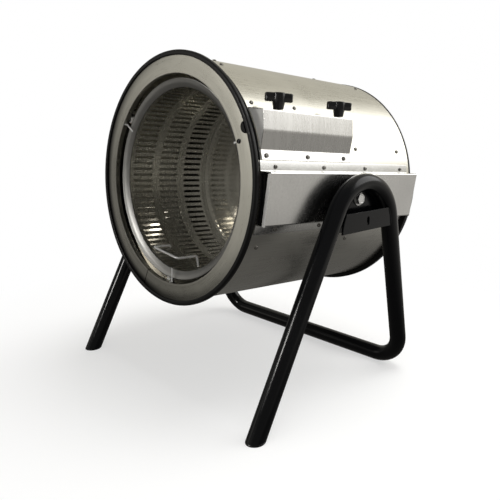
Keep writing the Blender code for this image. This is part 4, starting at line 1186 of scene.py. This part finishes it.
def make_roller(index):
    """Guide roller with its bracket and pin."""
    joint = JOINTS["roller_%d_spin" % index]
    centre = TO_MACHINE @ Vector(joint["pos_m"])
    body = "guide_roller_%d" % index
    y0, y1 = span("roller_%d" % index, 1)
    radii = [hypot(p.x - centre.x, p.z - centre.z) for p in local("roller_%d" % index)]
    r0, r1 = min(radii), max(radii)
    middle = (y0 + y1) / 2
    profile = [(r0, y0 + 0.0006), (r0 + 0.0006, y0), (r0 + 0.0022, y0), (r0 + 0.0026, y0 + 0.0004),
               (r1 - 0.0012, y0 + 0.0004), (r1 - 0.0003, y0 + 0.001), (r1, y0 + 0.0018),
               (r1 - 0.0002, middle), (r1, y1 - 0.0018), (r1 - 0.0003, y1 - 0.0008), (r1 - 0.001, y1),
               (r0, y1)]
    add("guide_roller_tyre_%d" % index, turned(profile, segments=48, centre=(centre.x, centre.z)), NYLON,
        ["roller_%d" % index], body)

    # Bracket with its foot on the housing, and a pin with a domed head
    out = Vector((centre.x, 0.0, centre.z)).normalized()
    across = Vector((out.z, 0.0, -out.x))
    node = "roller_bracket_%d" % index
    _, wall, _, far = ring_size(node)
    plate = 0.0215
    strip = bent_strip([(0.1787, plate), (wall - 0.0001, plate), (wall - 0.0001, far)], 0.0025, SHEET, 0.006,
                       out, across)
    add("roller_bracket_plate_%d" % index, strip, ZINC, [node], bevel=0.0003)
    profile = [(0.0, y0 - 0.0013), (0.0022, y0 - 0.0012), (0.0034, y0 - 0.0008), (0.0036, y0 - 0.0004),
               (0.0021, y0 - 0.0003), (0.0021, plate + 0.0009), (0.0, plate + 0.0009)]
    add("roller_pin_%d" % index, turned(profile, segments=28, centre=(centre.x, centre.z)), BRIGHT)


def make_retainer(index, degrees, length, screwed):
    """Bright spring finger from the ring's lip over the drum's rim, with a dark screw beside it."""
    lip = ring_size("front_ring")[0]
    out = on_radius(0.0, degrees, 0.0)[1]
    across = Vector((-out.z, 0.0, out.x))
    strip = bent_strip([(lip - 0.0001, 0.0024), (lip - 0.0001, 0.0078), (lip - length, 0.0078)], 0.002,
                       0.0008, 0.0015, out, across)
    add("drum_retainer_finger_%d" % index, strip, WIRE, slot="zinc_steel", bevel=0.0002)
    if screwed:
        base = out * (lip + 0.0078) - across * 0.0048 - Vector((0.0, 0.0004, 0.0))
        screw_row("drum_retainer_screw", [(base, (0.0, -1.0, 0.0))], 0.0036, 0.0016, look=PLASTIC)


make_drum()
for roller_index, finger_angle, finger_length in ((1, 24.2, 0.011), (2, -88.5, 0.026), (3, 148.0, 0.025)):
    make_roller(roller_index)
    make_retainer(roller_index, finger_angle, finger_length, roller_index == 1)


# ---------------------------------------------------------------- drive and rear fittings

def make_drive():
    """Bearing, gear motor with its round can, and the gearbox screws."""
    y0, y1 = span("shaft_bearing", 1)
    profile = [(0.0084, y0), (0.0276, y0), (0.028, y0 + 0.0004), (0.028, y0 + 0.0034), (0.0272, y0 + 0.004),
               (0.019, y0 + 0.0048), (0.0172, y0 + 0.007), (0.017, y1 - 0.001), (0.0162, y1), (0.0084, y1)]
    add("bearing_housing", turned(profile, segments=64), PAINT, ["shaft_bearing"])
    x = span("gear_motor", 0)
    y0, y1 = span("gear_motor", 1)
    half = (x[1] - x[0]) / 2
    box_y0, box_y1 = 0.3185, 0.35
    rings = stack(((0.0012, box_y0), (0.0, box_y0 + 0.0012), (0.0, 0.3335), (0.0008, 0.3338),
                   (0.0008, 0.3346), (0.0, 0.3349), (0.0, box_y1 - 0.0012), (0.0012, box_y1)),
                  lambda shrink: rounded_box(2 * (half - shrink), 2 * (half - shrink), 0.006, 8))
    can = [(0.0, box_y1 - 0.003), (0.03, box_y1 - 0.003), (0.03, y1 - 0.012), (0.0292, y1 - 0.0112),
           (0.0292, y1 - 0.01), (0.03, y1 - 0.0092), (0.03, y1 - 0.003), (0.029, y1 - 0.0008),
           (0.0272, y1), (0.011, y1), (0.0104, y1 - 0.0006), (0.0, y1 - 0.0006)]
    nose = [(0.0, y0), (0.0056, y0), (0.006, y0 + 0.0004), (0.006, box_y0 + 0.003), (0.0, box_y0 + 0.003)]
    add("gear_motor_casing", loft(rings), PAINT, ["gear_motor"],
        joins=[turned(can, segments=96), turned(nose, segments=32)])
    places = [((u * 0.025, box_y1, v * 0.025), (0.0, 1.0, 0.0)) for u in (-1, 1) for v in (-1, 1)]
    screw_row("gearbox_screws", places, 0.0028, 0.002, look=ZINC)


def make_rear_fittings():
    """Power inlet with three blades, and the rocker switch in its bezel."""
    face = span("rear_panel", 1)[1]
    x, z = INLET_AT
    flange = stack(((0.0, face + GAP), (0.0, face + 0.0024), (0.0006, face + 0.003), (0.0055, face + 0.003)),
                   lambda cut: rounded_box(0.033 - 2 * cut, 0.025 - 2 * cut, 0.003 - cut * 0.4, 6, (x, z)))
    body = prism(rounded_box(0.028, 0.02, 0.0012, 4, (x, z)), face - 0.02, face + 0.002)
    socket = prism(rounded_box(0.022, 0.014, 0.0032, 6, (x, z)), face - 0.015, face + 0.01)
    add("inlet_socket_body", loft(flange), PLASTIC, ["power_inlet"], joins=[body], cutters=[socket])
    blades = bmesh.new()
    for dx, dz in ((-0.006, 0.002), (0.0, -0.002), (0.006, 0.002)):
        blade = stack(((0.0, face - 0.0155), (0.0, face - 0.003), (0.0004, face - 0.002)),
                      lambda cut: rounded_box(0.002 - cut, 0.004 - 2 * cut, 0.0003, 2, (x + dx, z + dz)))
        merge(blades, loft(blade))
    add("inlet_contact_blades", blades, BRIGHT)

    x, z = SWITCH_AT
    bezel = stack(((0.0, face + GAP), (0.0, face + 0.0018), (0.0007, face + 0.0025), (0.004, face + 0.0025)),
                  lambda cut: rounded_box(0.023 - 2 * cut, 0.031 - 2 * cut, 0.0022 - cut * 0.3, 6, (x, z)))
    body = prism(rounded_box(0.019, 0.027, 0.001, 4, (x, z)), face - 0.015, face + 0.002)
    window = prism(rounded_box(0.014, 0.022, 0.0008, 4, (x, z)), face - 0.01, face + 0.01)
    add("switch_bezel", loft(bezel), PLASTIC, ["switch_frame"], joins=[body], cutters=[window])
    corners = [(0.0004, -0.0098), (0.0024, -0.0098), (0.002, 0.0), (0.0048, 0.0094), (0.0026, 0.01),
               (-0.003, 0.006), (-0.005, 0.0), (-0.003, -0.006)]
    profile = rounded_path(corners, [0.0004, 0.0006, 0.016, 0.0006, 0.0008, 0.002, 0.002, 0.002], True, 6)
    at = Vector((x, face - 0.0025, z))
    centre = sum(profile, Vector((0.0, 0.0))) / len(profile)

    def chamfered(inset):
        around = [p - centre for p in profile]
        return [(at.y + centre.x + p.x * (1 - inset * 80), at.z + centre.y + p.y * (1 - inset * 30))
                for p in around]

    sides = ((0.0004, -0.0066), (0.0, -0.006), (0.0, 0.006), (0.0004, 0.0066))
    rings = stack([(inset, at.x + half) for inset, half in sides], chamfered, "x")
    add("switch_rocker_cap", loft(rings), PLASTIC, ["switch_rocker"], "rocker", sharp=30.0)


make_drive()
make_rear_fittings()

for name, node in frame["nodes"].items():
    if not node.hide_render:
        finish = next(p["material_slot"] for p in frame["record"]["subparts"] if p["node"] == name)
        node.data.materials.clear()
        node.data.materials.append(LOOKS[finish][0])


# ---------------------------------------------------------------- stage, light and camera

# brightness of the floor's glow in reflections: under the object (painted shadow), in front, behind, and the patch
# aside (painted light)
FLOOR_NEAR, FLOOR_FRONT, FLOOR_REAR, FLOOR_PATCH = 0.12, 0.18, 0.56, 0.3


def make_floor():
    """Pale studio floor; only for reflections and bounced light it glows, darker towards the object as painted
    shadow.
    """
    bm = bmesh.new()
    bmesh.ops.create_circle(bm, cap_ends=True, segments=96, radius=9.0)
    mesh = bpy.data.meshes.new("studio_floor")
    bm.to_mesh(mesh)
    bm.free()
    floor = bpy.data.objects.new("studio_floor", mesh)
    bpy.context.scene.collection.objects.link(floor)
    look = Look("studio_floor")
    look.set(Base_Color=(0.93, 0.93, 0.925, 1.0), Roughness=0.75)
    coords = look.node("TexCoord", out=3)
    distance = look.node("VectorMath", out=1, operation="LENGTH", I0=coords)
    away = look.node("VectorMath", operation="NORMALIZE", I0=coords)
    far = look.spread(look.dot(away, (0.55, 0.83, 0.0)), FLOOR_FRONT, FLOOR_REAR, -0.2, 0.75)
    near = look.spread(distance, 0.0, 1.0, 0.45, 1.3)
    brightness = look.math("ADD", look.math("MULTIPLY", far, near),
                      look.math("MULTIPLY", FLOOR_NEAR, look.math("SUBTRACT", 1.0, near)))
    patch = look.math("MULTIPLY", look.spread(look.dot(away, (-0.69, -0.72, 0.0)), 0.0, FLOOR_PATCH, 0.93,
                                              0.99), look.spread(distance, 0.0, 1.0, 1.4, 2.4))
    glow = look.node("Emission", Color=(1.0, 0.97, 0.91, 1.0), Strength=look.math("ADD", brightness, patch))
    white = look.node("Emission", Color=(1.0, 1.0, 1.0, 1.0), Strength=1.0)
    pale = look.node("MixShader", I0=look.spread(distance, 0.55, 1.0, 0.35, 0.85), I1=look.shader.outputs[0],
                     I2=white)
    path = look.node("LightPath")
    mix = look.node("MixShader", I0=path, I1=glow, I2=pale)
    look.tree.links.new(mix, look.tree.nodes["Material Output"].inputs[0])
    mesh.materials.append(look.material)


ROOM = (0.24, 0.236, 0.224)

# azimuth from the front towards the right and elevation in degrees, radius and soft edge in degrees,
# strength, tint
SOFTBOXES = (
    (150.0, 33.0, 19.5, 6.0, 2.5, (1.0, 1.0, 1.0)),
    (190.0, 32.0, 38.0, 30.0, 0.33, (1.0, 0.955, 0.8)),
    (138.0, 0.0, 8.0, 14.0, 0.22, (1.0, 0.99, 0.97)),
    (-46.0, 7.0, 4.0, 9.0, 0.7, (1.0, 0.96, 0.88)),
    (-12.0, 3.0, 8.0, 14.0, 0.12, (1.0, 0.98, 0.94)),
)


def make_world():
    """White backdrop for the camera, and a soft studio round the object for everything else."""
    world = bpy.data.worlds.new("studio")
    bpy.context.scene.world = world
    world.use_nodes = True
    world.node_tree.nodes.clear()
    build = Nodes(world.node_tree)
    heading = build.node("TexCoord")
    total = ROOM
    for azimuth, elevation, size, softness, strength, tint in SOFTBOXES:
        facing = build.node("VectorMath", out=1, operation="DOT_PRODUCT", I0=heading,
                            I1=toward(azimuth, elevation))
        lobe = build.node("MapRange", interpolation_type="SMOOTHSTEP", Value=facing,
                          From_Min=cos(radians(size + softness)), From_Max=cos(radians(size)))
        light = build.node("VectorMath", operation="SCALE", I0=tuple(c * strength for c in tint), Scale=lobe)
        total = build.node("VectorMath", operation="ADD", I0=total, I1=light)
    studio = build.node("Background", Color=total)
    backdrop = build.node("Background", Color=(1.0, 1.0, 1.0, 1.0))
    shown = build.node("MixShader", I0=build.node("LightPath"), I1=studio, I2=backdrop)
    build.node("OutputWorld", I0=shown)


def toward(azimuth, elevation):
    azimuth, elevation = radians(azimuth), radians(elevation)
    return Vector((sin(azimuth) * cos(elevation), -cos(azimuth) * cos(elevation), sin(elevation)))


def add_lamp(name, kind, location, power, color, **settings):
    data = bpy.data.lights.new(name, kind)
    data.energy = power
    data.color = color
    for key, value in settings.items():
        setattr(data, key, value)
    lamp = bpy.data.objects.new(name, data)
    lamp.location = location
    bpy.context.scene.collection.objects.link(lamp)
    return lamp


def add_area(name, location, target, size, power, color=(1.0, 1.0, 1.0), glossy=True, diffuse=True):
    lamp = add_lamp(name, "AREA", location, power, color, shape="DISK", size=size)
    lamp.visible_camera = False
    lamp.visible_glossy = glossy
    lamp.visible_diffuse = diffuse
    lamp.rotation_euler = (Vector(target) - Vector(location)).to_track_quat("-Z", "Y").to_euler()


def add_glow(name, degrees, y, power):
    """Small lamp between drum and shell: light that shows through the drum's slots."""
    location = MACHINE @ on_radius(y, degrees, GLOW_R)[0]
    add_lamp(name, "POINT", location, power, (1.0, 0.93, 0.8), shadow_soft_size=0.012)


GLOW_R = 0.19
CAMERA_AT = Vector((0.8217, -0.7842, 0.4862))
CAMERA_AZIMUTH, CAMERA_ELEVATION = 46.52, 12.86
CAMERA_ROLL = radians(0.19)
CAMERA_LENS = 40.67


def make_camera():
    data = bpy.data.cameras.new("camera")
    data.lens = CAMERA_LENS
    data.sensor_width = 36.0
    camera = bpy.data.objects.new("camera", data)
    bpy.context.scene.collection.objects.link(camera)
    rotation = toward(CAMERA_AZIMUTH, CAMERA_ELEVATION).to_track_quat("Z", "Y").to_matrix().to_4x4()
    camera.matrix_world = Matrix.Translation(CAMERA_AT) @ rotation @ Matrix.Rotation(CAMERA_ROLL, 4, "Z")
    bpy.context.scene.camera = camera


make_floor()
make_world()
add_area("key_light", (0.4, 0.4, 2.4), (0.0, 0.0, 0.0), 1.4, 40.0, glossy=False)
add_area("fill_light", (1.3, -1.7, 1.1), (0.1, 0.0, 0.3), 0.8, 7.0, glossy=False)
add_area("edge_light", (-0.56, -1.96, 1.11), (0.2, -0.15, 0.2), 0.4, 14.0, (1.0, 0.98, 0.95), diffuse=False)
add_glow("slot_glow_low", -150.0, 0.11, 0.035)
make_camera()
bpy.context.scene.view_settings.view_transform = "Standard"
